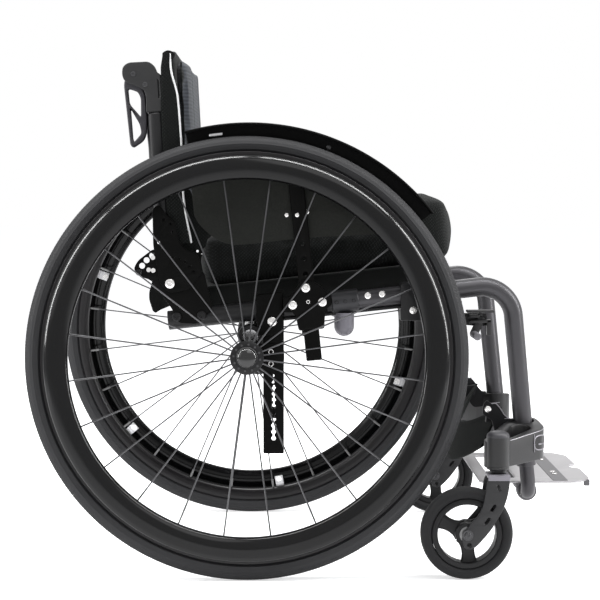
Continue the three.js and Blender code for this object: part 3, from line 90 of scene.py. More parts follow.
world = bpy.data.worlds.new("white_room")
world.use_nodes = True
scene.world = world
world.node_tree.nodes.clear()
room_light = node(world.node_tree, "Background", {"Color": (0.97, 0.98, 1, 1), "Strength": 0.5})
room_white = node(world.node_tree, "Background", {"Color": (1, 1, 1, 1), "Strength": 1.0})
room_parts = {0: backdrop_share(world.node_tree), 1: room_light.outputs[0], 2: room_white.outputs[0]}
room = node(world.node_tree, "MixShader", room_parts)
node(world.node_tree, "OutputWorld", {"Surface": room.outputs[0]})

floor_white = bpy.data.materials.new("pale_floor")
floor_white.use_nodes = True
floor_white.node_tree.nodes.clear()
floor_paint = node(floor_white.node_tree, "BsdfDiffuse", {"Color": (0.86, 0.86, 0.87, 1)})
floor_glow = node(floor_white.node_tree, "Emission", {"Color": (1, 1, 1, 1), "Strength": 0.58})
floor_lift = node(floor_white.node_tree, "AddShader", {0: floor_paint.outputs[0], 1: floor_glow.outputs[0]})
floor_mix = node(floor_white.node_tree, "MixShader",
    {0: backdrop_share(floor_white.node_tree), 1: floor_paint.outputs[0], 2: floor_lift.outputs[0]})
node(floor_white.node_tree, "OutputMaterial", {"Surface": floor_mix.outputs[0]})

floor_mesh = bpy.data.meshes.new("floor")
floor_mesh.from_pydata([(-20, -20, 0), (20, -20, 0), (20, 20, 0), (-20, 20, 0)], [], [(0, 1, 2, 3)])
floor_mesh.materials.append(floor_white)
floor = bpy.data.objects.new("floor", floor_mesh)
scene.collection.objects.link(floor)


def soft_lamp(name, place, aim, size, power):
    """A square lamp at a place, turned to face a point."""
    lamp = bpy.data.lights.new(name, "AREA")
    lamp.size = size
    lamp.energy = power
    lit = bpy.data.objects.new(name, lamp)
    lit.location = place
    away = np.array(place, float) - np.array(aim, float)
    flat = math.hypot(away[0], away[1])
    lit.rotation_euler = (math.atan2(flat, away[2]), 0, math.atan2(away[0], -away[1]))
    scene.collection.objects.link(lit)


def strip_lamp(name, turn, power):
    """A long thin lamp at an angle above the chair, in a plane just outside the near wheel, facing the
    wheel's middle."""
    away = Vector((math.cos(turn), -0.2, math.sin(turn))).normalized()
    thin = (Vector((0, 1, 0)) - away * away.y).normalized()
    lamp = bpy.data.lights.new(name, "AREA")
    lamp.shape, lamp.size, lamp.size_y, lamp.energy = "RECTANGLE", 0.1, 1.7, power
    lit = bpy.data.objects.new(name, lamp)
    facing = Matrix((thin, away.cross(thin), away)).transposed().to_4x4()
    lit.matrix_world = Matrix.Translation(away * 2.3 + Vector((AXLE_X, 0, 0.3))) @ facing
    scene.collection.objects.link(lit)


soft_lamp("key_lamp", (0.7, -1.9, 2.6), (0, 0, 0.35), 1.6, 20)
soft_lamp("side_lamp", (-2.4, -1.6, 1.5), (0, 0, 0.4), 1.4, 8)
soft_lamp("front_lamp", (2.6, -0.6, 1.6), (0, 0, 0.4), 1.4, 11)
soft_lamp("back_lamp", (-0.4, 2.2, 2.4), (0, 0, 0.4), 1.6, 42)
for count, turn in enumerate(np.radians((22, 66, 112, 156))):
    strip_lamp(f"strip_lamp_{count}", turn, 34)

# The two rear tyres. Solid-looking grey-black rubber, 25 mm wide on a 24 inch
# rim, leaning in at the top by the camber. The tread is a fine knurl of small
# lozenges, and each side wall has two thin raised lines.
TYRE_RADIUS = 0.295
TYRE_SECTION = 0.0125
CAMBER = math.radians(4)
WHEEL_HALF_TRACK = 0.25
AXLE_Z = (TYRE_RADIUS - TYRE_SECTION) * math.cos(CAMBER) + TYRE_SECTION
SIDES = (("left", 1), ("right", -1))


def joined(*coordinates):
    """Points from their coordinates, each stretched to the shape that all of them share."""
    return np.stack(np.broadcast_arrays(*coordinates), -1)


def on_wheel(points):
    """Points of the wheel's own frame, y outwards along its axle, turned by the camber and put in place on
    the left."""
    x, y, z = points[..., 0], points[..., 1], points[..., 2]
    return joined(AXLE_X + x,
        WHEEL_HALF_TRACK + y * math.cos(CAMBER) - z * math.sin(CAMBER),
        AXLE_Z + y * math.sin(CAMBER) + z * math.cos(CAMBER))


def full_turn(steps):
    """Angles that go evenly once round, without the last."""
    return np.linspace(0, 2 * np.pi, steps, endpoint=False)


def squared(wave, share):
    """A sine wave made squarer: its size raised to a power below 1, with its sign kept."""
    return np.sign(wave) * np.abs(wave) ** share


def unit(ways):
    """Ways made one long."""
    return ways / np.linalg.norm(ways, axis=-1, keepdims=True)


def turned(profile, segments=96):
    """A profile of radius and y carried round the Y axis: x is radius times cosine, z is radius times
    sine."""
    profile = np.asarray(profile, float)
    angle = full_turn(segments)
    radius, y = profile[:, 0, None], profile[:, 1, None]
    return joined(radius * np.cos(angle), y, radius * np.sin(angle))


def shell(grid, wrap_rows=False, capped=False):
    """The points of a grid and the quads between its rows and columns, with flat ends where it is
    capped."""
    rows, cols = grid.shape[:2]
    row = np.arange(rows if wrap_rows else rows - 1)[:, None]
    col = np.arange(cols)[None, :]
    next_row, next_col = (row + 1) % rows, (col + 1) % cols
    corners = [row * cols + col, row * cols + next_col, next_row * cols + next_col, next_row * cols + col]
    faces = np.stack(corners, -1).reshape(-1, 4).tolist()
    if capped:
        faces += [list(range(cols))[::-1], list(range((rows - 1) * cols, rows * cols))]
    return grid.reshape(-1, 3), faces


def wheel_ring(profile, segments):
    """A closed profile of radius and y, carried round the rear wheel's axle."""
    return shell(on_wheel(turned(profile, segments)), wrap_rows=True)


def level_ring(profile, segments, x, z):
    """A closed profile of radius and y, carried round a level axis at a place given from the rear axle."""
    return shell(turned(profile, segments) + (AXLE_X + x, 0, z), wrap_rows=True)


def shelled(name, shells, sign=1):
    """The mesh of closed shells, its y turned over on the right side, with faces pointing out."""
    mesh = bpy.data.meshes.new(name)
    starts = np.cumsum([0] + [len(points) for points, _ in shells])
    points = np.concatenate([points for points, _ in shells]) * (1, sign, 1)
    faces = [[corner + int(start) for corner in face]
             for (_, part), start in zip(shells, starts) for face in part]
    mesh.from_pydata(points.tolist(), [], faces)
    tidy = bmesh.new()
    tidy.from_mesh(mesh)
    bmesh.ops.remove_doubles(tidy, verts=tidy.verts, dist=1e-6)
    bmesh.ops.recalc_face_normals(tidy, faces=tidy.faces)
    tidy.to_mesh(mesh)
    tidy.free()
    return mesh


def piece(name, shells, body, finish, stands_for=(), sign=1, crease=35):
    """One object made of closed shells, or of a mesh that is ready, with its body and its finish: a
    material."""
    ready = isinstance(shells, bpy.types.Mesh)
    mesh = shells if ready else shelled(name, shells, sign)
    mesh.polygons.foreach_set("use_smooth", [True] * len(mesh.polygons))
    if not ready:
        mesh.set_sharp_from_angle(angle=math.radians(crease))
    mesh.materials.append(finish[0])
    made = bpy.data.objects.new(name, mesh)
    scene.collection.objects.link(made)
    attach(made, body)
    if stands_for:
        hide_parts(*stands_for)
    return made


def pair(name, shells, body, finish, stands_for="", crease=35):
    """A piece on the left and the same on the right. Braces in a name are the place of the side."""
    return [piece(name.format(side), shells, body.format(side), finish,
                  [stands_for.format(side)] if stands_for else (), sign, crease) for side, sign in SIDES]


def effect(name, inputs, outputs):
    """An empty node group with named number inputs and outputs, and its two end nodes."""
    group = bpy.data.node_groups.new(name, "ShaderNodeTree")
    for label, value in inputs.items():
        group.interface.new_socket(label, in_out="INPUT",
            socket_type="NodeSocketFloat").default_value = value
    for label in outputs:
        group.interface.new_socket(label, in_out="OUTPUT", socket_type="NodeSocketFloat")
    return group, group.nodes.new("NodeGroupInput"), group.nodes.new("NodeGroupOutput")


# Grain: a fine noise for the skin of rubber, paint and plastic, and a slow blotch for uneven colour.
grain, grain_in, grain_out = effect("grain", {"Fine": 900.0, "Slow": 9.0}, ("Skin", "Blotch"))
grain_place = node(grain, "TexCoord")
grain_skin = node(grain, "TexNoise", {"Vector": grain_place.outputs["Object"],
    "Scale": grain_in.outputs["Fine"], "Detail": 3.0, "Roughness": 0.6})
grain_blotch = node(grain, "TexNoise", {"Vector": grain_place.outputs["Object"],
    "Scale": grain_in.outputs["Slow"], "Detail": 4.0, "Roughness": 0.55})
grain.links.new(grain_skin.outputs["Fac"], grain_out.inputs["Skin"])
grain.links.new(grain_blotch.outputs["Fac"], grain_out.inputs["Blotch"])


def blended(tree, share, first, second):
    """A colour that runs from the first to the second as the share goes from 0 to 1. Either may be a
    socket."""
    # The mix node's colour sockets share their names with its number ones, so they are found by type.
    mix = node(tree, "Mix", {"Factor": share}, data_type="RGBA")
    colours = [socket for socket in mix.inputs if socket.type == "RGBA"]
    for socket, colour in zip(colours, (first, second)):
        if isinstance(colour, bpy.types.NodeSocket):
            tree.links.new(colour, socket)
        else:
            socket.default_value = (*colour, 1)
    return next(socket for socket in mix.outputs if socket.type == "RGBA")


def ground(name, fine, slow):
    """A new material's tree, and the grain node in it."""
    material = bpy.data.materials.new(name)
    material.use_nodes = True
    noise = node(material.node_tree, "Group", node_tree=grain)
    noise.inputs["Fine"].default_value, noise.inputs["Slow"].default_value = fine, slow
    return material, material.node_tree, noise


def coat(tree, noise, colour, smooth, rough, height, relief, depth, levels):
    """The end of every finish: its colour, its roughness between two levels, its relief, and its other
    levels."""
    shader = tree.nodes["Principled BSDF"]
    wander = node(tree, "MapRange", {"Value": noise.outputs["Skin"], "To Min": smooth, "To Max": rough})
    bump = node(tree, "Bump", {"Height": height, "Strength": relief, "Distance": depth})
    ends = {"Base Color": colour, "Roughness": wander.outputs[0], "Normal": bump.outputs[0]}
    for label, source in ends.items():
        tree.links.new(source, shader.inputs[label])
    for label, level in levels.items():
        shader.inputs[label].default_value = level


def grained(name, slot, dark, pale, rough, spread, metal=0.0, fine=900.0, slow=9.0, bump=0.15, depth=0.0003,
        shine=0.5):
    """A finish whose colour runs between two shades and whose roughness wanders by a small spread, over a
    fine grain."""
    material, tree, noise = ground(name, fine, slow)
    shade = blended(tree, noise.outputs["Blotch"], dark, pale)
    coat(tree, noise, shade, rough - spread, rough + spread, noise.outputs["Skin"], bump, depth,
         {"Metallic": metal, "Specular IOR Level": shine})
    return material, slot


tyre_rubber = grained("tyre_rubber", "tyre_rubber", (0.011, 0.011, 0.012), (0.019, 0.019, 0.0205), 0.62,
    0.1, bump=0.35, shine=0.3)
TREAD_LOZENGES = 210
TREAD_DEPTH = 0.0012
TREAD_HALF_ANGLE = math.radians(66)


def tyre_grid():
    """A round section of rubber carried round the wheel. Crossed waves raise small lozenges on the tread,
    fading at the shoulders."""
    angle = full_turn(1680)[None, :]
    around = np.linspace(math.radians(-52), math.radians(232), 46)[:, None]
    from_crown = around - np.pi / 2
    cross = np.sin(TREAD_LOZENGES * angle + from_crown * 9) * np.sin(TREAD_LOZENGES * angle - from_crown
        * 9)
    blocks = np.clip(np.abs(cross) * 2.2, 0, 1)
    fade = np.clip((TREAD_HALF_ANGLE - np.abs(from_crown)) * 12, 0, 1)
    wide = math.radians(3)
    lines = sum(np.exp(-(((np.abs(from_crown) - math.radians(line)) / wide) ** 2)) for line in (84, 118))
    section = TYRE_SECTION - TREAD_DEPTH * fade * (1 - blocks) + 0.0005 * lines
    radius = TYRE_RADIUS - TYRE_SECTION + section * np.sin(around)
    y = section * np.cos(around)
    return joined(radius * np.cos(angle), y, radius * np.sin(angle))


pair("rear_tyre_rubber_{}", [shell(on_wheel(tyre_grid()), wrap_rows=True)], "rear_wheel_{}", tyre_rubber,
    "rear_tyre_{}")

# The rear rims. Black anodised aluminium extrusions with a deep bed, two hooked
# flanges for the tyre, and a bright nipple where each spoke comes through.
rim_black = grained("rim_black", "black_anodised", (0.0045, 0.004, 0.0045), (0.008, 0.0072, 0.008), 0.3,
    0.05, fine=1500.0, bump=0.06, shine=0.25)
bright_screw = grained("bright_screw", "pale_metal", (0.62, 0.61, 0.6), (0.72, 0.71, 0.7), 0.24, 0.06,
    metal=1.0, fine=1400.0, bump=0.05)
nipple_steel = grained("nipple_steel", "pale_metal", (0.1, 0.1, 0.1), (0.16, 0.16, 0.16), 0.35, 0.06,
    metal=0.9, fine=1400.0, bump=0.05)
RIM_PROFILE = np.array([
    (0.2727, 0.012), (0.2735, 0.0112), (0.2735, 0.0098), (0.2722, 0.009), (0.269, 0.0092), (0.266, 0.006),
    (0.2655, 0.0), (0.266, -0.006), (0.269, -0.0092), (0.2722, -0.009), (0.2735, -0.0098),
    (0.2735, -0.0112), (0.2727, -0.012), (0.269, -0.0122), (0.265, -0.0116), (0.261, -0.0098),
    (0.2583, -0.0068), (0.2578, -0.003), (0.2578, 0.003), (0.2583, 0.0068), (0.261, 0.0098),
    (0.265, 0.0116), (0.269, 0.0122),
])
SPOKES = 24
SPOKE_TURN = 0.5
HUB_FLANGE_Y = 0.022
RIM_BED = 0.2576


def rods(starts, ends, radius, sides=8):
    """Round bars from each start to each end: a ring of points at both ends of every bar, with quads
    between and flat caps."""
    starts, ends = np.atleast_2d(starts).astype(float), np.atleast_2d(ends).astype(float)
    along = unit(ends - starts)
    helper = np.where(np.abs(along[:, 1:2]) < 0.9, [[0.0, 1.0, 0.0]], [[1.0, 0.0, 0.0]])
    first = unit(np.cross(along, helper))
    second = np.cross(along, first)
    angle = full_turn(sides)
    ring = radius * (np.cos(angle)[None, :, None] * first[:, None, :] + np.sin(angle)[None, :, None]
        * second[:, None, :])
    points = np.stack([starts[:, None, :] + ring, ends[:, None, :] + ring], 1).reshape(-1, 3)
    base = np.arange(len(starts))[:, None] * 2 * sides
    step = np.arange(sides)[None, :]
    after = (step + 1) % sides
    quads = joined(base + step, base + after, base + sides + after, base + sides + step).reshape(-1,
        4).tolist()
    return points, quads + (base + step).tolist() + (base + sides + step).tolist()


spoke_angle = (np.arange(SPOKES) + SPOKE_TURN) / SPOKES * 2 * np.pi
spoke_way = joined(np.cos(spoke_angle), 0, np.sin(spoke_angle))
spoke_flange = np.where(np.arange(SPOKES) % 2, 1.0, -1.0)[:, None] * np.array([[0.0, 1.0, 0.0]])
spoke_root = spoke_way * 0.0175 + spoke_flange * HUB_FLANGE_Y
spoke_tip = spoke_way * RIM_BED + spoke_flange * 0.003
nipple_start = spoke_tip + (spoke_root - spoke_tip) * 0.055
pair("rear_rim_{}_extrusion", [wheel_ring(RIM_PROFILE, 240)], "rear_wheel_{}", rim_black, "rear_rim_{}")
pair("spoke_nipples_{}", [rods(on_wheel(nipple_start), on_wheel(spoke_tip), 0.0018, 8)], "rear_wheel_{}",
    nipple_steel)

# The hubs and spokes. A black barrel between two drilled flanges, each flange
# holding every second one of the twenty-four straight dark steel spokes.
spoke_steel = grained("spoke_steel", "black_steel", (0.055, 0.055, 0.058), (0.085, 0.085, 0.088), 0.3, 0.05,
    metal=0.9, fine=1500.0, bump=0.03)
hub_black = grained("hub_black", "black_steel", (0.004, 0.004, 0.0045), (0.007, 0.007, 0.0075), 0.34, 0.06,
    fine=1500.0, bump=0.06, shine=0.22)
HUB_PROFILE = np.array([
    (0.0068, -0.028), (0.0128, -0.028), (0.0138, -0.0272), (0.0138, -0.0246), (0.0205, -0.024),
    (0.0222, -0.0232), (0.0224, -0.0215), (0.0218, -0.0202), (0.015, -0.0196), (0.0118, -0.016),
    (0.011, -0.008), (0.011, 0.008), (0.0118, 0.016), (0.015, 0.0196), (0.0218, 0.0202), (0.0224, 0.0215),
    (0.0222, 0.0232), (0.0205, 0.024), (0.0148, 0.0246), (0.0142, 0.0272), (0.0132, 0.028), (0.0068, 0.028),
])
head_place = spoke_way * 0.0176 + spoke_flange * 0.0238
pair("hub_barrel_{}", [wheel_ring(HUB_PROFILE, 64)], "rear_wheel_{}", hub_black, "hub_and_spokes_{}")
pair("spokes_{}", [rods(on_wheel(spoke_root), on_wheel(spoke_tip), 0.00105, 8)], "rear_wheel_{}",
    spoke_steel)
pair("spoke_heads_{}", [rods(on_wheel(head_place), on_wheel(head_place + spoke_flange * 0.0009), 0.0016,
    10)], "rear_wheel_{}", spoke_steel)

# The hand rims. Oval gloss-black hoops outside the wheels, held off the rims
# by six pale bent tabs, each with a bright screw.
hand_rim_gloss = grained("hand_rim_gloss", "gloss_black", (0.0024, 0.0024, 0.0025),
    (0.0039, 0.0039, 0.0042), 0.13, 0.02, fine=60.0, slow=14.0, bump=0.01, shine=0.19)
button_gloss = grained("button_gloss", "gloss_black", (0.002, 0.002, 0.0022), (0.0035, 0.0035, 0.0037),
    0.09, 0.02, fine=60.0, slow=14.0, bump=0.01, shine=0.55)
tab_steel = grained("tab_steel", "pale_metal", (0.42, 0.42, 0.43), (0.55, 0.55, 0.56), 0.3, 0.06, metal=1.0,
    fine=1200.0, bump=0.05)
hoop_angle = full_turn(72)
hoop_oval = joined(0.251 + 0.0165 * np.cos(hoop_angle), 0.032 + 0.01 * np.sin(hoop_angle))
FACET_FIRST, FACET_LAST = 5, 10
facet_share = np.clip((np.arange(len(hoop_angle)) - FACET_FIRST) / (FACET_LAST - FACET_FIRST), 0, 1)[:,
    None]
facet_line = hoop_oval[FACET_FIRST] + facet_share * (hoop_oval[FACET_LAST] - hoop_oval[FACET_FIRST])
facet_swell = 0.00035 * facet_share * (1 - facet_share) * (0.633, 0.774)
HAND_RIM_PROFILE = np.where((facet_share > 0) & (facet_share < 1), facet_line + facet_swell, hoop_oval)
tab_angle = np.radians(40 + 60 * np.arange(6))
tab_way = joined(np.cos(tab_angle), 0, np.sin(tab_angle))


def slabs(centres, ways, size):
    """Small flat blocks, each turned so that its first side lies along its own way, its second along Y."""
    corner = np.array([(a, b, c) for a in (-0.5, 0.5) for b in (-0.5, 0.5) for c in (-0.5, 0.5)])
    corner = corner[[0, 1, 3, 2, 4, 5, 7, 6]] * size
    up = np.array([0.0, 1.0, 0.0])
    across = np.cross(ways, up)
    points = (centres[:, None, :] + corner[None, :, 0, None] * ways[:, None, :]
              + corner[None, :, 1, None] * up + corner[None, :, 2, None] * across[:, None, :])
    base = np.arange(len(centres))[:, None, None] * 8
    quads = np.array([(0, 1, 2, 3), (7, 6, 5, 4), (0, 4, 5, 1), (1, 5, 6, 2), (2, 6, 7, 3), (3, 7, 4, 0)])
    return points.reshape(-1, 3), (base + quads[None]).reshape(-1, 4).tolist()


pair("hand_rim_hoop_{}", [wheel_ring(HAND_RIM_PROFILE, 360)], "rear_wheel_{}", hand_rim_gloss,
    "hand_rim_{}")
blocks = [slabs(tab_way * 0.2533 + (0, 0.0125, 0), tab_way, (0.0045, 0.022, 0.013)),
          slabs(tab_way * 0.25 + (0, 0.0035, 0), tab_way, (0.0165, 0.003, 0.013))]
blocks = [(on_wheel(points), faces) for points, faces in blocks]
for tabs in pair("hand_rim_tabs_{}", blocks, "rear_wheel_{}", tab_steel):
    edge = tabs.modifiers.new("edge", "BEVEL")
    edge.width, edge.segments = 0.0006, 2
screw_foot = tab_way * 0.2455 + (0, 0.002, 0)
screws = [rods(on_wheel(screw_foot), on_wheel(screw_foot - (0, 0.0035, 0)), 0.0045, 12)]
pair("hand_rim_screws_{}", screws, "rear_wheel_{}", bright_screw)

# The quick-release axles. A bright steel pin runs through each hub, with a
# polished head and a domed gloss button that frees its locking balls.
BUTTON_PROFILE = np.array([
    (0.0, 0.0262), (0.0034, 0.0262), (0.0034, 0.0346), (0.0118, 0.0346), (0.0125, 0.0352), (0.0125, 0.0368),
    (0.012, 0.0376), (0.0104, 0.0388), (0.0082, 0.0398), (0.0055, 0.0405), (0.0028, 0.0409), (0.0, 0.041),
])
AXLE_PROFILE = np.array([
    (0.0, -0.08), (0.0052, -0.08), (0.0062, -0.0785), (0.0062, 0.0283), (0.0094, 0.0283), (0.01, 0.0288),
    (0.01, 0.0306), (0.0094, 0.0312), (0.0045, 0.0312), (0.0045, 0.0195), (0.0, 0.0195),
])
pair("axle_pin_{}", [shell(on_wheel(turned(AXLE_PROFILE, 48)))], "wheel_axle_{}", bright_screw,
    "release_axle_{}")
pair("axle_button_dome_{}", [shell(on_wheel(turned(BUTTON_PROFILE, 64)))], "axle_button_{}", button_gloss,
    "release_button_{}")

# The frame tubes. Aluminium tube 26 mm across: black at the back, satin grey in
# front, bent down at the front and joined inside a collar. The footrest is one
# thinner grey tube that slides up into both legs.
RAIL_Y = 0.188
RAIL_SLOPE = math.tan(math.radians(6.1))
TUBE_RADIUS = 0.013
black_anodised = grained("black_anodised", "black_anodised", (0.0045, 0.0045, 0.005),
    (0.008, 0.008, 0.0088), 0.4, 0.07, fine=1300.0, bump=0.12, shine=0.25)
grey_satin = grained("grey_satin", "grey_satin", (0.0368, 0.036, 0.0392), (0.0496, 0.048, 0.052), 0.38,
    0.05, metal=0.6, fine=1500.0, slow=5.0, bump=0.08)
foot_grey = grained("foot_grey", "grey_satin", (0.0248, 0.0236, 0.0267), (0.0335, 0.0316, 0.036), 0.45,
    0.05, metal=0.35, fine=1300.0, slow=5.0, bump=0.1)


def rail_z(x):
    """Height of the side rail's middle at a distance x in front of the axle."""
    return 0.351 + x * RAIL_SLOPE


def bent(corners, radius, steps=12):
    """A route through straight runs, turned round a circle of this radius at each inner corner."""
    corners = [np.array(corner, float) for corner in corners]
    route = [corners[0]]
    for before, corner, after in zip(corners, corners[1:], corners[2:]):
        into, out = unit(corner - before), unit(after - corner)
        turn = math.acos(float(into @ out))
        across = unit(out - into * float(into @ out))
        share = np.linspace(0, turn, steps + 1)[:, None]
        start = corner - into * radius * math.tan(turn / 2)
        route += list(start + into * radius * np.sin(share) + across * radius * (1 - np.cos(share)))
    return np.array(route + [corners[-1]])


def tube(route, radius, sides=40, guide=(0, 1, 0), wall=0.0022):
    """A ring carried along a route, square to it. Each end is chamfered and turns inwards to a short
    bore."""
    route = np.asarray(route, float)
    steps = unit(np.diff(route, axis=0))
    way = unit(np.concatenate([steps[:1], steps[:-1] + steps[1:], steps[-1:]]))
    stretch = 1 / np.concatenate([[1], np.sum(steps[:-1] * way[1:-1], axis=1), [1]])
    first = unit(np.cross(way, np.broadcast_to(guide, way.shape)))
    second = np.cross(way, first)
    rim = 0.0008
    middle = np.concatenate([
        route[:1] + way[:1] * 0.012, route[:1], route[:1], route[:1] + way[:1] * rim, route[1:-1],
        route[-1:] - way[-1:] * rim, route[-1:], route[-1:], route[-1:] - way[-1:] * 0.012,
    ])
    near, far = [0, 0, 0, 0], [-1, -1, -1, -1]
    index = near + list(range(1, len(route) - 1)) + [len(route) + step for step in far]
    radii = np.array([radius - wall, radius - wall, radius - rim, radius] + [radius] * (len(route) - 2)
        + [radius, radius - rim, radius - wall, radius - wall])
    angle = full_turn(sides)
    ring = np.cos(angle)[None, :, None] * first[index][:, None, :] * stretch[index][:, None,
        None] + np.sin(angle)[None, :, None] * second[index][:, None, :]
    return shell(middle[:, None, :] + ring * radii[:, None, None], capped=True)


def at(x, y, z):
    """A place given from the rear axle, in the chair's own frame."""
    return np.array([AXLE_X + x, y, z])


def on_rail(x):
    """A place on the side rail's middle line."""
    return at(x, RAIL_Y, rail_z(x))


front_bend = at(0.3585, 0.178, rail_z(0.3585))
FOOT_X, FOOT_Z = 0.3875, 0.098
foot_corner = at(FOOT_X, 0.163, FOOT_Z)
leg_way = unit(foot_corner - front_bend)


def on_leg(z):
    """The place on a front leg's middle line at a height."""
    return front_bend + leg_way * (z - front_bend[2]) / leg_way[2]


leg_top = on_leg(0.18)
loop = [leg_top, foot_corner, foot_corner * (1, -1, 1), leg_top * (1, -1, 1)]
loop_guide = np.cross(leg_way, (0, 1, 0))
rear = tube([on_rail(-0.108), on_rail(0.1317)], TUBE_RADIUS)
pair("rear_tube_{}", [rear], "frame", black_anodised, "rear_frame_tube_{}")
bend = bent([on_rail(0.262), front_bend, on_leg(0.148)], 0.045, 16)
front = tube(np.concatenate([[on_rail(0.132)], bend]), TUBE_RADIUS)
pair("front_tube_{}", [front], "frame", grey_satin, "front_frame_tube_{}")
piece("footrest_loop", [tube(bent(loop, 0.02), 0.01, guide=loop_guide)], "frame", foot_grey,
    ["footrest_tube"])

# The caster wheels. Soft grey-black tyres on black plastic wheels with three
# broad spokes, running on ball bearings between the fork's flat arms.
CASTER_X, CASTER_Y, CASTER_Z = 0.2915, 0.263, 0.0615
caster_plastic = grained("caster_plastic", "black_plastic", (0.0034, 0.0034, 0.0036),
    (0.0056, 0.0056, 0.0062), 0.42, 0.08, fine=700.0, bump=0.1, shine=0.2)
caster_rubber = grained("caster_rubber", "tyre_rubber", (0.0075, 0.0075, 0.008), (0.0125, 0.0125, 0.0132),
    0.7, 0.1, bump=0.3, shine=0.2)
CASTER_TYRE_PROFILE = np.array([
    (0.047, 0.0105), (0.049, 0.0132), (0.0525, 0.0145), (0.056, 0.0143), (0.0585, 0.013), (0.0603, 0.0105),
    (0.0612, 0.0065), (0.0615, 0.0), (0.0612, -0.0065), (0.0603, -0.0105), (0.0585, -0.013),
    (0.056, -0.0143), (0.0525, -0.0145), (0.049, -0.0132), (0.047, -0.0105),
])
CASTER_RIM_PROFILE = np.array([
    (0.0466, 0.01), (0.0462, 0.0118), (0.0445, 0.0126), (0.04, 0.0122), (0.039, 0.0112), (0.0388, 0.0),
    (0.039, -0.0112), (0.04, -0.0122), (0.0445, -0.0126), (0.0462, -0.0118), (0.0466, -0.01),
])
CASTER_HUB_PROFILE = np.array([
    (0.0046, 0.0158), (0.008, 0.016), (0.0148, 0.0152), (0.016, 0.014), (0.0162, 0.0), (0.016, -0.014),
    (0.0148, -0.0152), (0.008, -0.016), (0.0046, -0.0158),
])


def at_caster(points):
    """Points drawn round the caster's own middle, put in place on the left."""
    return points + at(CASTER_X, CASTER_Y, CASTER_Z)


def caster_ring(profile, segments=96):
    """A closed profile of radius and y, carried round the caster's axle."""
    return shell(at_caster(turned(profile, segments)), wrap_rows=True)


def caster_spoke(turn):
    """A broad spoke: wide at the hub, narrower at its middle, flared into the rim, and thinner than
    both."""
    reach = np.linspace(0.01, 0.042, 15)
    share = np.linspace(-1, 1, 15)
    half = 0.0086 + 0.0044 * share ** 2 + 0.0018 * share ** 8
    thick = 0.0042 + 0.0022 * share ** 2
    ring = full_turn(24)
    across = half[:, None] * squared(np.cos(ring), 0.5)[None, :]
    y = thick[:, None] * squared(np.sin(ring), 0.5)[None, :]
    x = reach[:, None] * math.cos(turn) - across * math.sin(turn)
    z = reach[:, None] * math.sin(turn) + across * math.cos(turn)
    return shell(joined(x, y, z), capped=True)


caster_turns = np.radians((35, 155, 275))
pair("caster_tyre_rubber_{}", [caster_ring(CASTER_TYRE_PROFILE)], "caster_wheel_{}", caster_rubber,
    "caster_tyre_{}")
spokes = [caster_spoke(turn) for turn in caster_turns]
rings = [caster_ring(profile) for profile in (CASTER_RIM_PROFILE, CASTER_HUB_PROFILE)]
pair("caster_wheel_{}_body", rings + [(at_caster(points), faces) for points, faces in spokes],
    "caster_wheel_{}", caster_plastic, "caster_hub_{}")
bearing = [(0.0048, 0.0163), (0.0085, 0.0163), (0.0105, 0.0161), (0.0108, 0.0155), (0.0105, 0.015),
    (0.0048, 0.015)]
bearings = [caster_ring(np.array(bearing) * (1, way), 48) for way in (1, -1)]
pair("caster_bearings_{}", bearings, "caster_wheel_{}", nipple_steel)

# Finishes shared by the black fittings and the side guards: plastics, painted
# plate, the grainy panel, and the greys of bolts, small screws and brake shoes.
black_plastic = grained("black_plastic", "black_plastic", (0.0045, 0.0045, 0.005), (0.008, 0.008, 0.009),
    0.5, 0.08, fine=800.0, bump=0.2, shine=0.12)
handle_plastic = grained("handle_plastic", "black_plastic", (0.0081, 0.0081, 0.0086),
    (0.013, 0.013, 0.0134), 0.46, 0.08, fine=800.0, bump=0.2, shine=0.35)
plate_black = grained("plate_black", "black_anodised", (0.0011, 0.0011, 0.001), (0.0021, 0.0021, 0.0019),
    0.45, 0.07, fine=1300.0, bump=0.12, shine=0.06)
fender_black = grained("fender_black", "black_plastic", (0.0016, 0.0016, 0.0017), (0.003, 0.003, 0.0031),
    0.4, 0.07, fine=800.0, bump=0.15, shine=0.05)
guard_grey = grained("guard_grey", "black_plastic", (0.0085, 0.009, 0.008), (0.02, 0.021, 0.0185), 0.7,
    0.08, fine=420.0, slow=420.0, bump=0.7, depth=0.0005, shine=0.1)
grip_plastic = grained("grip_plastic", "black_plastic", (0.014, 0.0135, 0.0165), (0.022, 0.021, 0.026),
    0.45, 0.08, fine=800.0, bump=0.25, shine=0.35)
caster_bolt_steel = grained("caster_bolt_steel", "pale_metal", (0.04, 0.04, 0.042), (0.06, 0.06, 0.062),
    0.35, 0.06, metal=0.8, fine=1200.0, bump=0.05)
screw_grey = grained("screw_grey", "black_steel", (0.035, 0.035, 0.037), (0.055, 0.055, 0.058), 0.35, 0.06,
    metal=0.6, fine=1200.0, bump=0.05)
shoe_grey = grained("shoe_grey", "grey_satin", (0.088, 0.0862, 0.095), (0.132, 0.1294, 0.139), 0.4, 0.06,
    metal=0.6, fine=1100.0, bump=0.1)

# Plates. Most fittings are cut from flat aluminium plate, so they are drawn as
# outlines with eased corners and given a thin rounded edge.


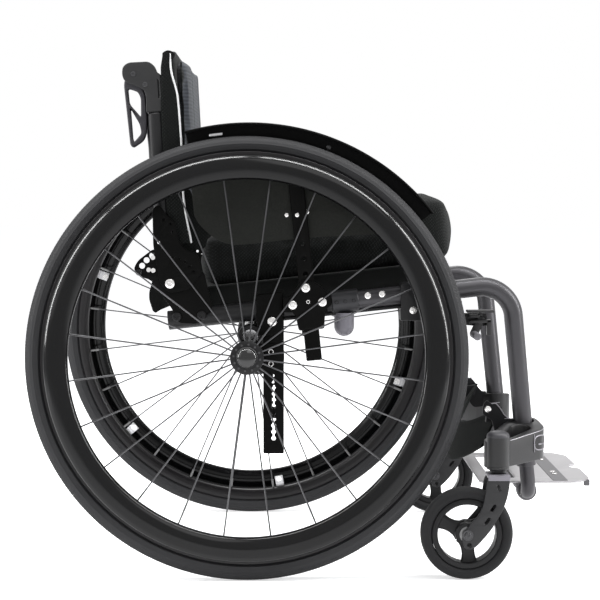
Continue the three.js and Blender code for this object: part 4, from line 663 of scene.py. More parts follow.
def rounded(corners, radius, steps=6):
    """A closed outline whose corners are eased, each by a curve that starts a radius away or half a short
    side away."""
    corner = np.asarray(corners, float)
    back, ahead = np.roll(corner, 1, axis=0) - corner, np.roll(corner, -1, axis=0) - corner
    back_length, ahead_length = np.linalg.norm(back, axis=1), np.linalg.norm(ahead, axis=1)
    reach = np.minimum(radius, 0.48 * np.minimum(back_length, ahead_length))
    start = corner + back * (reach / back_length)[:, None]
    end = corner + ahead * (reach / ahead_length)[:, None]
    share = np.linspace(0, 1, steps)[None, :, None]
    eased = (1 - share) ** 2 * start[:, None] + 2 * share * (1 - share) * corner[:, None]
    return (eased + share ** 2 * end[:, None]).reshape(-1, 2)


def oblong(left, right, low, high, radius):
    """The outline of a rectangle with eased corners."""
    return rounded([(left, low), (right, low), (right, high), (left, high)], radius)


def ring(x, z, radius, points=20):
    """The outline of a round hole."""
    angle = full_turn(points)
    return joined(x + radius * np.cos(angle), z + radius * np.sin(angle))


def long_hole(start, end, radius, points=8):
    """The outline round two places: a half circle at each, with straight sides between."""
    start, end = np.array(start, float), np.array(end, float)
    heading = math.atan2(end[1] - start[1], end[0] - start[0])
    half = np.linspace(-np.pi / 2, np.pi / 2, points)
    ends = [place + radius * joined(np.cos(heading + turn + half), np.sin(heading + turn + half))
            for place, turn in ((end, 0), (start, np.pi))]
    return np.concatenate(ends)


def plate(outline, near, far, edge=0.0006, holes=(), lying=False):
    """A plate drawn in x and z between two values of y, or lying down, in x and y between two heights."""
    drawing = bpy.data.curves.new("outline", "CURVE")
    drawing.dimensions, drawing.fill_mode = "2D", "BOTH"
    drawing.extrude, drawing.bevel_depth, drawing.offset = (far - near) / 2 - edge, edge, -edge
    drawing.bevel_resolution = 2
    for loop, turn in [(outline, 1)] + [(hole, -1) for hole in holes]:
        loop = np.asarray(loop, float)
        area = loop[:, 0] @ np.roll(loop[:, 1], -1) - loop[:, 1] @ np.roll(loop[:, 0], -1)
        loop = loop[::int(np.sign(area) * turn)]
        line = drawing.splines.new("POLY")
        line.points.add(len(loop) - 1)
        line.points.foreach_set("co", np.c_[loop, 0 * loop[:, :1], 0 * loop[:, :1] + 1].ravel())
        line.use_cyclic_u = True
    holder = bpy.data.objects.new("outline", drawing)
    mesh = bpy.data.meshes.new_from_object(holder)
    points = np.empty(len(mesh.vertices) * 3, np.float32)
    mesh.vertices.foreach_get("co", points)
    along, across, deep = points.reshape(-1, 3).astype(float).T
    faces = [list(face.vertices) for face in mesh.polygons]
    bpy.data.objects.remove(holder)
    bpy.data.curves.remove(drawing)
    bpy.data.meshes.remove(mesh)
    middle = (near + far) / 2 + deep
    rows = (AXLE_X + along, across, middle) if lying else (AXLE_X + along, middle, across)
    return np.stack(rows, -1), faces


def cut(corners, radius, near, far, edge=0.0006, holes=(), lying=False):
    """A plate whose outline has eased corners."""
    return plate(rounded(corners, radius), near, far, edge, holes, lying)


def screw_heads(places, radius, height, way=(0, 1, 0), socket=0.5):
    """Button heads: rings of points round each axis make a straight side, a domed top and a sunk socket."""
    way, socket = unit(np.array(way, float)), np.broadcast_to(socket, 2)
    first = unit(np.cross(way, (0.3, 0.1, 1)))
    second = np.cross(way, first)
    angle = full_turn(24)
    flats = math.cos(np.pi / 6) / np.cos((angle + np.pi / 6) % (np.pi / 3) - np.pi / 6)
    round_rows = np.array([(0, 0), (1, 0), (1, 0.5), (0.93, 0.8), (0.78, 0.97)])
    sunk_rows = np.array([(1.08, 1), (1, 0.94), (1, 0.35), (0, 0.35)])
    across = np.concatenate([round_rows[:, :1] + 0 * angle, socket[0] * sunk_rows[:, :1] * flats])
    down = np.concatenate([round_rows[:, :1] + 0 * angle, socket[1] * sunk_rows[:, :1] * flats])
    lift = np.concatenate([round_rows[:, 1], sunk_rows[:, 1]])
    head = (radius * (across * np.cos(angle))[..., None] * first + radius
        * (down * np.sin(angle))[..., None] * second
            + height * lift[:, None, None] * way)
    return [shell(head + np.array(place)) for place in places]


def upright(profile, x, y, segments=48):
    """A profile of radius and height carried round a standing axis."""
    profile = np.asarray(profile, float)
    angle = full_turn(segments)
    radius, z = profile[:, 0, None], profile[:, 1, None]
    return shell(joined(AXLE_X + x + radius * np.cos(angle), y + radius * np.sin(angle), z))


# The cross tube and its carriers. A bright tube runs across below the seat. At
# each end a black casting clasps it and holds the sleeve for the wheel's axle.
CROSS_X, CROSS_Z = 0.0035, 0.317
polished = grained("polished_tube", "pale_metal", (0.6, 0.6, 0.61), (0.68, 0.68, 0.69), 0.16, 0.04,
    metal=1.0, fine=1500.0, bump=0.02)
cross_route = [at(CROSS_X, -0.1925, CROSS_Z), at(CROSS_X, 0.1925, CROSS_Z)]
piece("cross_tube_bright", [tube(cross_route, 0.011, 48, guide=(1, 0, 0))], "frame", polished,
    ["cross_tube"])
CARRIER_RING = [(0.0114, 0.171), (0.016, 0.171), (0.017, 0.172), (0.017, 0.1925), (0.016, 0.1937),
    (0.0114, 0.1937)]
SLEEVE = [(0.0064, -0.0805), (0.0105, -0.0805), (0.0115, -0.0795), (0.0115, -0.0315), (0.0105, -0.0305),
    (0.0064, -0.0305)]
CARRIER_TAB = np.array([(-0.5, 0.36), (0.1, 0.72), (1.3, 0.3), (1.4, -0.55), (0.4, -0.72),
    (-0.5, -0.4)]) * 0.032
parts = [level_ring(CARRIER_RING, 64, CROSS_X, CROSS_Z)]
parts.append(wheel_ring(SLEEVE, 48))
parts.append(cut(CARRIER_TAB + (0, 0.2887), 0.004, 0.1817, 0.1937, 0.001))
pair("axle_casting_{}", parts, "frame", black_anodised, "axle_carrier_{}")

# The height bars. Flat black bars with a chain of joined holes, bolted to the
# carriers by a shaped boss and clamped round the rails at the top.
BAR_X, BAR_NEAR, BAR_FAR, CLAMP_FAR = 0.035, 0.194, 0.201, 0.205
CHAIN_PITCH, CHAIN_HOLES, CHAIN_LOW = 0.0087, 9, 0.1796
BRIDGE = (0.1745, 0.2015)


def chain_hole():
    """A slot whose half width is that of the nearest round hole, and never less than a narrow neck."""
    z = np.linspace(CHAIN_LOW - 0.0031, CHAIN_LOW + CHAIN_PITCH * (CHAIN_HOLES - 1) + 0.0031, 150)
    off = (z - CHAIN_LOW + CHAIN_PITCH / 2) % CHAIN_PITCH - CHAIN_PITCH / 2
    half = np.maximum(0.0012, np.sqrt(np.maximum(0, 0.0032 ** 2 - off ** 2)))
    return np.concatenate([joined(BAR_X + half, z), joined(BAR_X - half, z)[::-1]])


bar_outline = oblong(0.021, 0.049, 0.159, 0.36, 0.002)
clamp_outline = rounded([(0.015, 0.3202), (0.045, 0.3202), (0.048, 0.341), (0.048, 0.3782), (0.012, 0.3744),
    (0.012, 0.341)], 0.003)
boss_outline = rounded([(0.006, 0.302), (0.014, 0.309), (0.0495, 0.309), (0.0495, 0.284), (0.046, 0.273),
    (0.029, 0.268), (0.012, 0.279)], 0.012)
bar_holes = [chain_hole(), ring(BAR_X - 0.001, 0.257, 0.0027), ring(BAR_X - 0.001, 0.265, 0.0023)]
parts = [plate(bar_outline, BAR_NEAR, BAR_FAR, 0.0008, bar_holes)]
parts.append(plate(clamp_outline, 0.2011, CLAMP_FAR, 0.0012))
parts.append(plate(clamp_outline, 0.171, 0.1749, 0.0012))
parts.append(cut([(0.012, 0.3646), (0.048, 0.3684), (0.048, 0.3782), (0.012, 0.3744)], 0.002, *BRIDGE,
    0.0012))
parts.append(cut([(0.015, 0.3202), (0.045, 0.3202), (0.046, 0.3395), (0.014, 0.336)], 0.002, *BRIDGE,
    0.0012))
parts.append(plate(boss_outline, 0.2005, 0.2032, 0.001))
pair("height_bar_{}", parts, "frame", plate_black, "axle_bar_{}")
BOSS_RING = [(0.0026, 0.2025), (0.0026, 0.2042), (0.0036, 0.2042), (0.0038, 0.2036), (0.0038, 0.2025)]
rings = [level_ring(BOSS_RING, 32, BAR_X - 0.0034, z) for z in (0.2978, 0.2815)]
pair("boss_rings_{}", rings, "frame", bright_screw)
pair("clamp_screw_{}", screw_heads([at(0.033, CLAMP_FAR - 0.0005, 0.339)], 0.0065, 0.0028,
    socket=(0.78, 0.13)), "frame", bright_screw)

# The collars. A charcoal sleeve joins the black and the grey tube, with three
# holes in its side and a short round-ended socket below.
collar_grey = grained("collar_grey", "grey_satin", (0.018, 0.018, 0.02), (0.027, 0.027, 0.03), 0.42, 0.06,
    metal=0.5, fine=1300.0, bump=0.1)
socket_grey = grained("socket_grey", "grey_satin", (0.13, 0.125, 0.145), (0.17, 0.165, 0.185), 0.5, 0.06,
    metal=0.2, fine=900.0, bump=0.1)
COLLAR_X, COLLAR_REACH, COLLAR_RADIUS = 0.132, 0.0182, 0.016
rail_way = np.array([1, 0, RAIL_SLOPE]) / math.hypot(1, RAIL_SLOPE)


def rail_sleeve(x, reach, radius, bore, rim=0.0008, sides=64):
    """A sleeve round the straight rail: a closed profile of distance along the rail and radius, carried
    round it."""
    profile = np.array([(-reach, bore), (-reach, radius - rim), (rim - reach, radius),
        (reach - rim, radius), (reach, radius - rim), (reach, bore)])
    angle = full_turn(sides)
    side_way, up_way = np.array([0.0, 1.0, 0.0]), np.cross(rail_way, (0, 1, 0))
    out = np.cos(angle)[:, None] * side_way + np.sin(angle)[:, None] * up_way
    grid = on_rail(x) + profile[:, :1, None] * rail_way + profile[:, 1, None, None] * out
    return shell(grid, wrap_rows=True)


SOCKET = [(0.0, 0.35), (0.0135, 0.35), (0.0135, 0.3315)] + [
    (0.0135 * math.cos(turn), 0.3315 - 0.0135 * math.sin(turn))
    for turn in np.linspace(0.15, np.pi / 2 - 0.15, 8)] + [(0.0, 0.318)]
parts = [rail_sleeve(COLLAR_X, COLLAR_REACH, COLLAR_RADIUS, 0.0133),
    rail_sleeve(COLLAR_X - 0.0195, 0.0008, 0.0137, 0.0132, 0.0003)]
pair("collar_sleeve_{}", parts, "frame", collar_grey, "frame_collar_{}")
pair("collar_socket_{}", [upright(SOCKET, COLLAR_X - 0.001, RAIL_Y)], "frame", socket_grey)
pair("collar_bushes_{}",
    screw_heads([at(x, RAIL_Y + 0.0153, rail_z(x) + 0.001) for x in (0.1205, 0.132, 0.1435)], 0.0028,
    0.0009, socket=0.72), "frame", hub_black)
pair("tube_screws_{}", screw_heads([at(x, RAIL_Y + 0.0126, rail_z(x) + 0.0055) for x in (0.1626, 0.182)],
    0.0047, 0.0022, socket=0.55), "frame", bright_screw)

# The side guards. A grainy grey panel hangs under a black fender that follows
# the tyre. A flat post runs down from both and slides in its receiver.
GUARD_NEAR, GUARD_FAR, BAND_FAR = 0.2083, 0.2103, 0.2126
FENDER_X, FENDER_RADIUS, FENDER_START, FENDER_SWEEP = 0.003, 0.312, math.radians(38), math.radians(68)
PANEL_TOP = FENDER_RADIUS - 0.0033


def on_fender(radius, turn):
    """A place in x and z at a distance from the fender's middle and an angle above its front level."""
    return joined(FENDER_X + radius * np.cos(turn), AXLE_Z + radius * np.sin(turn))


guard_corners = [(0.24, 0.49), (0.218, 0.469), (0.175, 0.457), (0.084, 0.453), (0.0, 0.4435),
    (-0.024, 0.443), (-0.042, 0.45), (-0.056, 0.4616), (-0.067, 0.473), (-0.0745, 0.49)]
guard_arc = on_fender(PANEL_TOP, np.linspace(FENDER_START + FENDER_SWEEP, FENDER_START, 60))
guard_outline = np.concatenate([rounded(guard_corners, 0.03, 6)[3:-3], guard_arc])
fender_turn = np.linspace(FENDER_START, FENDER_START + FENDER_SWEEP, 90)
LIP = np.array([
    (0.312, 0.2092), (0.312, 0.235), (0.3112, 0.2362), (0.3098, 0.2366), (0.3088, 0.2358), (0.309, 0.2345),
    (0.3094, 0.213), (0.283, 0.2126), (0.2822, 0.212), (0.2822, 0.2111), (0.283, 0.2106), (0.309, 0.2103),
    (0.309, 0.209), (0.3104, 0.2083),
])


def swept(profile, turns):
    """A closed profile of radius and y carried along the fender's arc."""
    place = on_fender(profile[None, :, 0], turns[:, None])
    grid = joined(AXLE_X + place[..., 0], profile[None, :, 1], place[..., 1])
    return shell(grid, capped=True)


POST_SLOPE = math.tan(math.radians(5.8))
POST_X, POST_LOW, POST_HIGH = 0.09, 0.286, 0.528


def post_outline(half, low, high):
    """The strip of a leaning post between two heights."""
    middle = POST_X - (np.array([low, high]) - POST_LOW) * POST_SLOPE
    return [(middle[0] - half, low), (middle[0] + half, low + 0.002), (middle[1] + half, high),
        (middle[1] - half, high)]


post_holes = [ring(POST_X - (z - POST_LOW) * POST_SLOPE, z, 0.0028) for z in (0.404, 0.4243, 0.4446)]
pair("guard_sheet_{}", [plate(guard_outline, GUARD_NEAR, GUARD_FAR, 0.0006)], "side_guard_{}", guard_grey,
    "guard_panel_{}")
pair("fender_arc_{}", [swept(LIP, fender_turn)], "side_guard_{}", fender_black, "guard_fender_{}")
pair("post_bar_{}", [cut(post_outline(0.0105, POST_LOW, POST_HIGH), 0.002, 0.2106, 0.2156, 0.0018,
    post_holes)],
     "side_guard_{}", plate_black, "guard_post_{}")
small = screw_heads([at(x, GUARD_FAR - 0.0002, z) for x, z in ((0.0528, 0.483), (0.0803, 0.487))], 0.0029,
    0.0016)
small += screw_heads([at(0.0668, 0.2155, 0.483)], 0.0029, 0.0016)
pair("guard_screws_{}", small, "side_guard_{}", bright_screw)
pair("guard_rivet_{}", screw_heads([at(0.109, BAND_FAR - 0.0002, 0.5735)], 0.0034, 0.0014), "side_guard_{}",
    caster_bolt_steel)
clip = cut([(-0.051, 0.5875), (-0.033, 0.5895), (-0.033, 0.5935), (-0.051, 0.5915)], 0.001,
    BAND_FAR - 0.0005, 0.215, 0.0005)
pair("guard_clip_{}", [clip], "side_guard_{}", tab_steel)

receiver_outline = rounded([
    (0.0551, 0.3655), (0.0566, 0.3555), (0.0645, 0.348), (0.0691, 0.3276), (0.1033, 0.3306),
    (0.1045, 0.3556), (0.113, 0.3618), (0.113, 0.3731), (0.0996, 0.3868), (0.0896, 0.393), (0.0733, 0.3955),
    (0.0596, 0.3756),
], 0.003)
receiver_places = np.array([(0.0783, 0.3852), (0.0608, 0.3622), (0.1008, 0.3663)])
parts = [plate(receiver_outline, 0.2013, 0.2103, 0.0012), plate(receiver_outline, 0.2159, 0.22, 0.0012)]
cheek = [np.array([(0.048, 0.352), (0.068, 0.352), (0.066, 0.372), (0.048, 0.372)]),
    np.array([(0.0955, 0.35), (0.108, 0.35), (0.108, 0.374), (0.0935, 0.374)])]
parts += [cut(block, 0.002, 0.2098, 0.2164, 0.0004) for block in cheek]
pair("receiver_body_{}", parts, "frame", plate_black, "guard_receiver_{}")
heads = screw_heads([at(x, 0.2196, z) for x, z in receiver_places], 0.0061, 0.0028, socket=0.52)
heads += screw_heads([at(0.0815, 0.2196, 0.3665)], 0.0026, 0.0006, socket=0.7)
pair("receiver_screws_{}", heads, "frame", bright_screw)
strip = cut([(0.049, 0.3395), (0.225, 0.3582), (0.225, 0.3622), (0.049, 0.3435)], 0.001, 0.182, 0.194,
    0.0008)
pair("rail_strip_{}", [strip], "frame", black_anodised)

# The back's pivot plates. A fixed plate on each rail carries a quadrant of holes
# and the pivot screw. The moving plate and the cane turn on that screw.
BACK_PIVOT = np.array([-0.1045, 0.3905])
BACK_LEAN = -math.radians(3)
QUADRANT = 0.0445
CANE_AHEAD = -0.0055
FIXED_NEAR, FIXED_FAR, MOVING_NEAR, MOVING_FAR = 0.2013, 0.2043, 0.2046, 0.2076


def on_back(points):
    """Places of the backrest's own frame, forwards of the pivot line and up along the back, as x and z."""
    points = np.asarray(points, float)
    ahead, along = points[..., 0], points[..., 1]
    cos, sin = math.cos(BACK_LEAN), math.sin(BACK_LEAN)
    return joined(BACK_PIVOT[0] + ahead * cos + along * sin, BACK_PIVOT[1] - ahead * sin + along * cos)


def back_place(ahead, y, along):
    """The same place as a point in the room."""
    x, z = on_back((ahead, along))
    return at(x, y, z)


fixed_shares = np.array([
    (-0.82, 0.18), (-1.12, 0.42), (-0.97, 0.7), (-0.48, 1.07), (-0.1, 0.82), (0.5, 0.6), (1.04, 0.35),
    (1.13, -0.1), (1.3, -0.73), (0.85, -1.23), (0.23, -1.2), (0.07, -0.79), (-0.57, 0.1),
])
moving_shares = np.array([
    (-0.4, 2.3), (-0.2, 2.42), (0.04, 2.05), (0.27, 1.83), (0.33, 1.29), (0.51, 1.0), (0.87, 0.88),
    (1.03, 0.35), (0.6, -0.2), (0.0, -0.3), (-0.3, 0.0), (-0.44, 1.17),
])
quadrant_turns = np.radians((160, 147.5, 135, 122.5))
fixed_holes = [ring(*(BACK_PIVOT + QUADRANT * np.array([math.cos(turn), math.sin(turn)])), 0.004)
               for turn in quadrant_turns]
fixed_holes.append(ring(*BACK_PIVOT, 0.0055))
adjust_places = [(0.8 * QUADRANT * math.cos(turn), 0.8 * QUADRANT * math.sin(turn))
                 for turn in np.radians((24, 38, 52, 66, 80))]
adjust_places += [(-0.0035, 0.0865), (0.0052, 0.08), (0.0068, 0.069), (-0.012, 0.056)]
moving_holes = [ring(*on_back(place), 0.002, 14) for place in adjust_places] + [ring(*BACK_PIVOT, 0.005)]
fixed = cut(fixed_shares * QUADRANT + BACK_PIVOT, 0.006, FIXED_NEAR, FIXED_FAR, 0.0006, fixed_holes)
pair("pivot_plate_{}", [fixed], "frame", plate_black, "back_pivot_plate_{}")
bolts = [at(-0.0955, FIXED_FAR - 0.0003, 0.3455), at(-0.062, FIXED_FAR - 0.0003, 0.3475)]
pair("pivot_plate_bolts_{}", screw_heads(bolts, 0.0062, 0.003, socket=0.55), "frame", hub_black)
small = np.array([at(x, FIXED_FAR - 0.0012, z)
                  for x, z in ((-0.1275, 0.4255), (-0.1332, 0.409), (-0.1272, 0.4082))])
pair("quadrant_screws_{}", [rods(small, small + (0, 0.00135, 0), 0.0031, 20)], "frame", bright_screw)
dark_x, dark_z = BACK_PIVOT + QUADRANT * np.array([math.cos(quadrant_turns[0]),
    math.sin(quadrant_turns[0])])
dark = [at(dark_x, FIXED_FAR - 0.0003, dark_z)]
pair("quadrant_bolt_{}", screw_heads(dark, 0.0045, 0.0024, socket=0.55), "frame", hub_black)
cane_route = [back_place(CANE_AHEAD, RAIL_Y, 0.062), back_place(CANE_AHEAD, RAIL_Y, 0.231)]
cheek = on_back([(-0.0112, 0.062), (0.0003, 0.062), (0.0003, 0.096), (-0.0112, 0.096)])
sleeve_route = [back_place(-0.0068, RAIL_Y, 0.112), back_place(-0.0068, RAIL_Y, 0.23)]
pair("cane_{}", [tube(cane_route, 0.0115, 48), tube(sleeve_route, 0.0128, 56)], "backrest", black_anodised,
    "back_cane_{}")
parts = [cut(on_back(moving_shares * QUADRANT), 0.006, MOVING_NEAR, MOVING_FAR, 0.0006, moving_holes)]
parts.append(cut(cheek, 0.001, 0.1965, MOVING_NEAR + 0.0004, 0.0004))
pair("moving_plate_{}", parts, "backrest", plate_black)
pivot = screw_heads([at(BACK_PIVOT[0], MOVING_FAR - 0.0002, BACK_PIVOT[1])], 0.0068, 0.003, socket=0.45)
pivot.append(rods(at(BACK_PIVOT[0], FIXED_NEAR, BACK_PIVOT[1])[None],
    at(BACK_PIVOT[0], MOVING_FAR, BACK_PIVOT[1])[None], 0.0048, 24))
pair("pivot_screw_{}", pivot, "backrest", bright_screw)

cross_bar = [back_place(CANE_AHEAD, -0.1762, 0.084), back_place(CANE_AHEAD, 0.1762, 0.084)]
piece("back_bar_round", [tube(cross_bar, 0.007, 32, guide=(1, 0, 0), wall=0.0015)], "backrest",
    black_anodised, ["back_cross_bar"])

# The push handles. A moulded bracket caps each cane: two cheeks and a core with
# big soft edges. Between the cheeks hangs a flat skeleton grip of hard plastic.
BRACKET_N, BRACKET_T, BRACKET_WIDE, BRACKET_TALL = -0.0055, 0.2313, 0.034, 0.068
bracket_shares = np.array([
    (-0.41, 0.0), (0.33, 0.0), (0.33, 0.03), (0.24, 0.17), (0.24, 0.74), (0.1, 0.78), (0.0, 0.92),
    (-0.2, 1.0), (-1.01, 1.0), (-1.24, 0.92), (-1.28, 0.76), (-1.19, 0.63), (-0.61, 0.49), (-0.38, 0.41),
    (-0.38, 0.25), (-0.41, 0.03),
])
core_shares = np.array([
    (-0.41, 0.01), (0.32, 0.01), (0.32, 0.03), (0.21, 0.18), (0.21, 0.73), (0.08, 0.76), (-0.03, 0.89),
    (-0.3, 0.96), (-0.44, 0.9), (-0.42, 0.55), (-0.36, 0.41), (-0.36, 0.25), (-0.4, 0.03),
])
GRIP_N, GRIP_T, GRIP_WIDE, GRIP_TALL = -0.0335, 0.2845, 0.03, 0.104
grip_shares = np.array([
    (-0.47, -0.12), (-0.3, 0.0), (-0.17, 0.077), (0.17, 0.077), (0.28, 0.0), (0.38, -0.2), (0.48, -0.32),
    (0.48, -0.62), (0.42, -0.79), (0.26, -0.88), (-0.21, -0.96), (-0.33, -0.92),
])
grip_windows = [
    np.array([(-0.3, -0.19), (0.14, -0.24), (0.26, -0.32), (0.22, -0.57), (-0.27, -0.39)]),
    np.array([(-0.23, -0.45), (0.15, -0.66), (0.2, -0.78), (-0.14, -0.88), (-0.2, -0.85)]),
]
bracket_outline = rounded(on_back(bracket_shares * (BRACKET_WIDE, BRACKET_TALL) + (BRACKET_N, BRACKET_T)),
    0.01, 8)
core_outline = rounded(on_back(core_shares * (BRACKET_WIDE, BRACKET_TALL) + (BRACKET_N, BRACKET_T)), 0.006)
grip_outline = rounded(on_back(grip_shares * (GRIP_WIDE, GRIP_TALL) + (GRIP_N, GRIP_T)), 0.01, 8)
grip_holes = [rounded(on_back(window * (GRIP_WIDE, GRIP_TALL) + (GRIP_N, GRIP_T)), 0.004)
              for window in grip_windows]
grip_pin = ring(*on_back((GRIP_N, GRIP_T)), 0.0038)
groove = rounded(on_back([(-0.0015, 0.2495), (0.0002, 0.2495), (0.0002, 0.2745), (-0.0015, 0.2745)]),
    0.0008)
cheeks = [plate(bracket_outline, near, far, 0.0013, [groove])
          for near, far in ((0.1765, 0.1797), (0.1963, 0.1995))]
core = plate(core_outline, 0.1795, 0.1965, 0.0004, [groove])
pair("handle_cheeks_{}", cheeks + [core], "backrest", handle_plastic, "handle_bracket_{}")
heads = [back_place(n, 0.1993, t) for n, t in ((-0.0336, 0.2837), (-0.0188, 0.2687))]
heads = screw_heads(heads, 0.0034, 0.0014) + [rods(
    back_place(GRIP_N, 0.1768, GRIP_T)[None], back_place(GRIP_N, 0.1992, GRIP_T)[None], 0.0034, 20)]
pair("handle_screws_{}", heads, "backrest", screw_grey)
pair("grip_skeleton_{}", [plate(grip_outline, 0.18, 0.196, 0.0022, grip_holes + [grip_pin])],
    "push_grip_{}", grip_plastic, "handle_grip_{}")

# The caster clamps. A tall grey casting loops from the black bearing housing
# round the frame leg, with an open pocket between them and an oval window in front.
STEM_X, STEM_Y = 0.333, 0.263
casting_grey = grained("casting_grey", "grey_satin", (0.0084, 0.0082, 0.0088), (0.012, 0.0116, 0.0126),
    0.42, 0.06, metal=0.3, fine=1000.0, bump=0.12)
# Painted highlight: this pale steel draws the thin lines that stand for light caught on bevelled and
# recessed edges of the clamp, its window and the strap brackets.
painted_highlight_steel = grained("painted_highlight_steel", "pale_metal", (0.19, 0.185, 0.2), (0.26, 0.25, 0.27), 0.35, 0.06,
    metal=0.5, fine=1100.0, bump=0.06)
cap_grey = grained("cap_grey", "grey_satin", (0.0144, 0.0139, 0.0173), (0.0216, 0.0206, 0.025), 0.5, 0.06,
    fine=900.0, bump=0.1)
leg_middle = on_leg(0.1705)
LEG_SPOT = leg_middle[:2] - (AXLE_X, 0)
BELT_DISCS = np.array([(0.3292, 0.256, 0.014), (0.3745, 0.195, 0.0285), (*LEG_SPOT, 0.0185)])
POCKET_DISCS = np.array([(0.3475, 0.237, 0.008), (0.37, 0.201, 0.0138)])
FRONT_SPOT = BELT_DISCS[1, :2]


def belt(discs, points=160):
    """The outline of a belt drawn tight round some discs: in each direction, the far point of the disc that
    reaches furthest."""
    turn = full_turn(points)
    way = joined(np.cos(turn), np.sin(turn))
    furthest = np.argmax(way @ discs[:, :2].T + discs[:, 2], axis=1)
    return discs[furthest, :2] + discs[furthest, 2:] * way


def tilted(points):
    """The lying belt tipped up: from the stem inwards to the leg its middle rises and it grows taller."""
    share = (STEM_Y - points[:, 1]) / (STEM_Y - LEG_SPOT[1])
    lift = 0.1655 + 0.0125 * share + points[:, 2] * (0.87 + 0.24 * share)
    return joined(points[:, 0], points[:, 1], lift)


belt_loop = np.concatenate([belt(BELT_DISCS), belt(BELT_DISCS)[:1]])
loop_length = np.concatenate([[0], np.cumsum(np.linalg.norm(np.diff(belt_loop, axis=0), axis=1))])
even_length = np.linspace(0, loop_length[-1], 2000, endpoint=False)
front_line = np.stack([np.interp(even_length, loop_length, belt_loop[:, axis]) for axis in (0, 1)], -1)
front_line -= FRONT_SPOT
front_turn = np.arctan2(front_line[:, 1], front_line[:, 0])
front_line = front_line[np.argsort(front_turn)]
front_turn = np.sort(front_turn)


def front_spot(turn, z, out):
    """A place on the belt's front: an angle from straight ahead about the round end's middle, a height, and
    how far the place stands out."""
    reach = out + np.interp(turn, front_turn, np.hypot(front_line[:, 0], front_line[:, 1]))
    return joined(AXLE_X + FRONT_SPOT[0] + reach * np.cos(turn), FRONT_SPOT[1] + reach * np.sin(turn), z)


HOUSING = [
    (0.0, 0.146), (0.0128, 0.146), (0.0144, 0.1466), (0.015, 0.148), (0.015, 0.1495), (0.0146, 0.15),
    (0.015, 0.1505), (0.0152, 0.188), (0.0151, 0.1895), (0.0, 0.1896),
]
CAP = [(0.0, 0.189), (0.0151, 0.189), (0.0153, 0.1905), (0.0149, 0.1925), (0.0135, 0.1945), (0.011, 0.1962),
    (0.007, 0.1975), (0.003, 0.198), (0.0, 0.1981)]


def round_leg(profile, middle, segments=64):
    """A profile of radius and distance up the leg, carried round the leaning leg."""
    profile = np.asarray(profile, float)
    up = -leg_way
    first = unit(np.cross(up, (0, 1, 0)))
    second = np.cross(up, first)
    turn = full_turn(segments)
    out = np.cos(turn)[:, None] * first + np.sin(turn)[:, None] * second
    return shell(middle + profile[:, 1, None, None] * up + profile[:, 0, None, None] * out, wrap_rows=True)


leg_bore = ring(*LEG_SPOT, 0.0129, 40)
loop_turn = np.linspace(0, 2 * np.pi, 49)
WINDOW_TURN, WINDOW_Z = math.radians(41), 0.1755
window_turn = WINDOW_TURN + math.radians(26) * squared(np.cos(loop_turn), 0.7)
window_z = WINDOW_Z + 0.0098 * squared(np.sin(loop_turn), 0.7)
window_shade_share = np.linspace(0, 0.98, 9)[:, None]
points, faces = plate(belt(BELT_DISCS), -0.02, 0.02, 0.0014, [belt(POCKET_DISCS), leg_bore], lying=True)
pair("clamp_casting_{}", [(tilted(points), faces)], "frame", casting_grey, "caster_clamp_{}", crease=40)
pair("bearing_housing_{}", [upright(HOUSING, STEM_X, STEM_Y, 64)], "frame", handle_plastic)
pair("housing_cap_{}", [upright(CAP, STEM_X, STEM_Y, 64)], "frame", cap_grey)
# A thin pale tube along the casting's top front edge is a painted highlight of light on the edge's bevel.
edge_highlight_turn = np.radians(np.linspace(-50, 112, 60))
edge_highlight_line = tilted(front_spot(edge_highlight_turn, 0.0194, -0.0004))
pair("clamp_edge_highlight_{}", [tube(edge_highlight_line, 0.0006, 8, guide=(0, 0, 1), wall=0.0002)], "frame", painted_highlight_steel)
sleeve = [(0.0102, -0.033), (0.0128, -0.033), (0.0134, -0.0325), (0.0134, -0.012), (0.0102, -0.012)]
pair("leg_end_{}", [round_leg(sleeve, leg_middle)], "frame", grey_satin)
# The dark pane laid across the oval window is painted shade: a thin dark sheet standing for the shaded
# inside of the recess.
window_shade_turn = WINDOW_TURN + window_shade_share * (window_turn - WINDOW_TURN)
window_shade_z = WINDOW_Z + window_shade_share * (window_z - WINDOW_Z)
window_shade = np.concatenate([front_spot(window_shade_turn, window_shade_z, 0.0005), front_spot(window_shade_turn, window_shade_z, -0.001)[::-1]])
pair("clamp_window_{}", [shell(window_shade[:, :-1])], "frame", (rim_black[0], "black_steel"))
# The pale ring round the oval window and the short bar across it are painted highlights of light on the
# recess edges.
window_highlight = [tube(front_spot(window_turn, window_z, 0.0005), 0.0009, 12, guide=(0.75, 0.66, 0), wall=0.0003)]
bar_turn = np.radians(np.linspace(52, 17, 12))
window_highlight.append(tube(front_spot(bar_turn, 0.1735 + 0 * bar_turn, 0.0006), 0.0011, 12, guide=(0, 0, 1),
    wall=0.0003))
pair("clamp_window_bead_{}", window_highlight, "frame", painted_highlight_steel)

# The caster forks. Two curved flat arms joined by a crown under the bearing,
# with slots and a spare hole, and a bolt through the wheel.
FORK_INNER, FORK_OUTER, FORK_PLATE = 0.2415, 0.2845, 0.004
fork_grey = grained("fork_grey", "grey_satin", (0.0053, 0.0053, 0.0059), (0.0087, 0.0087, 0.0096), 0.45,
    0.07, fine=1100.0, bump=0.12, shine=0.35)
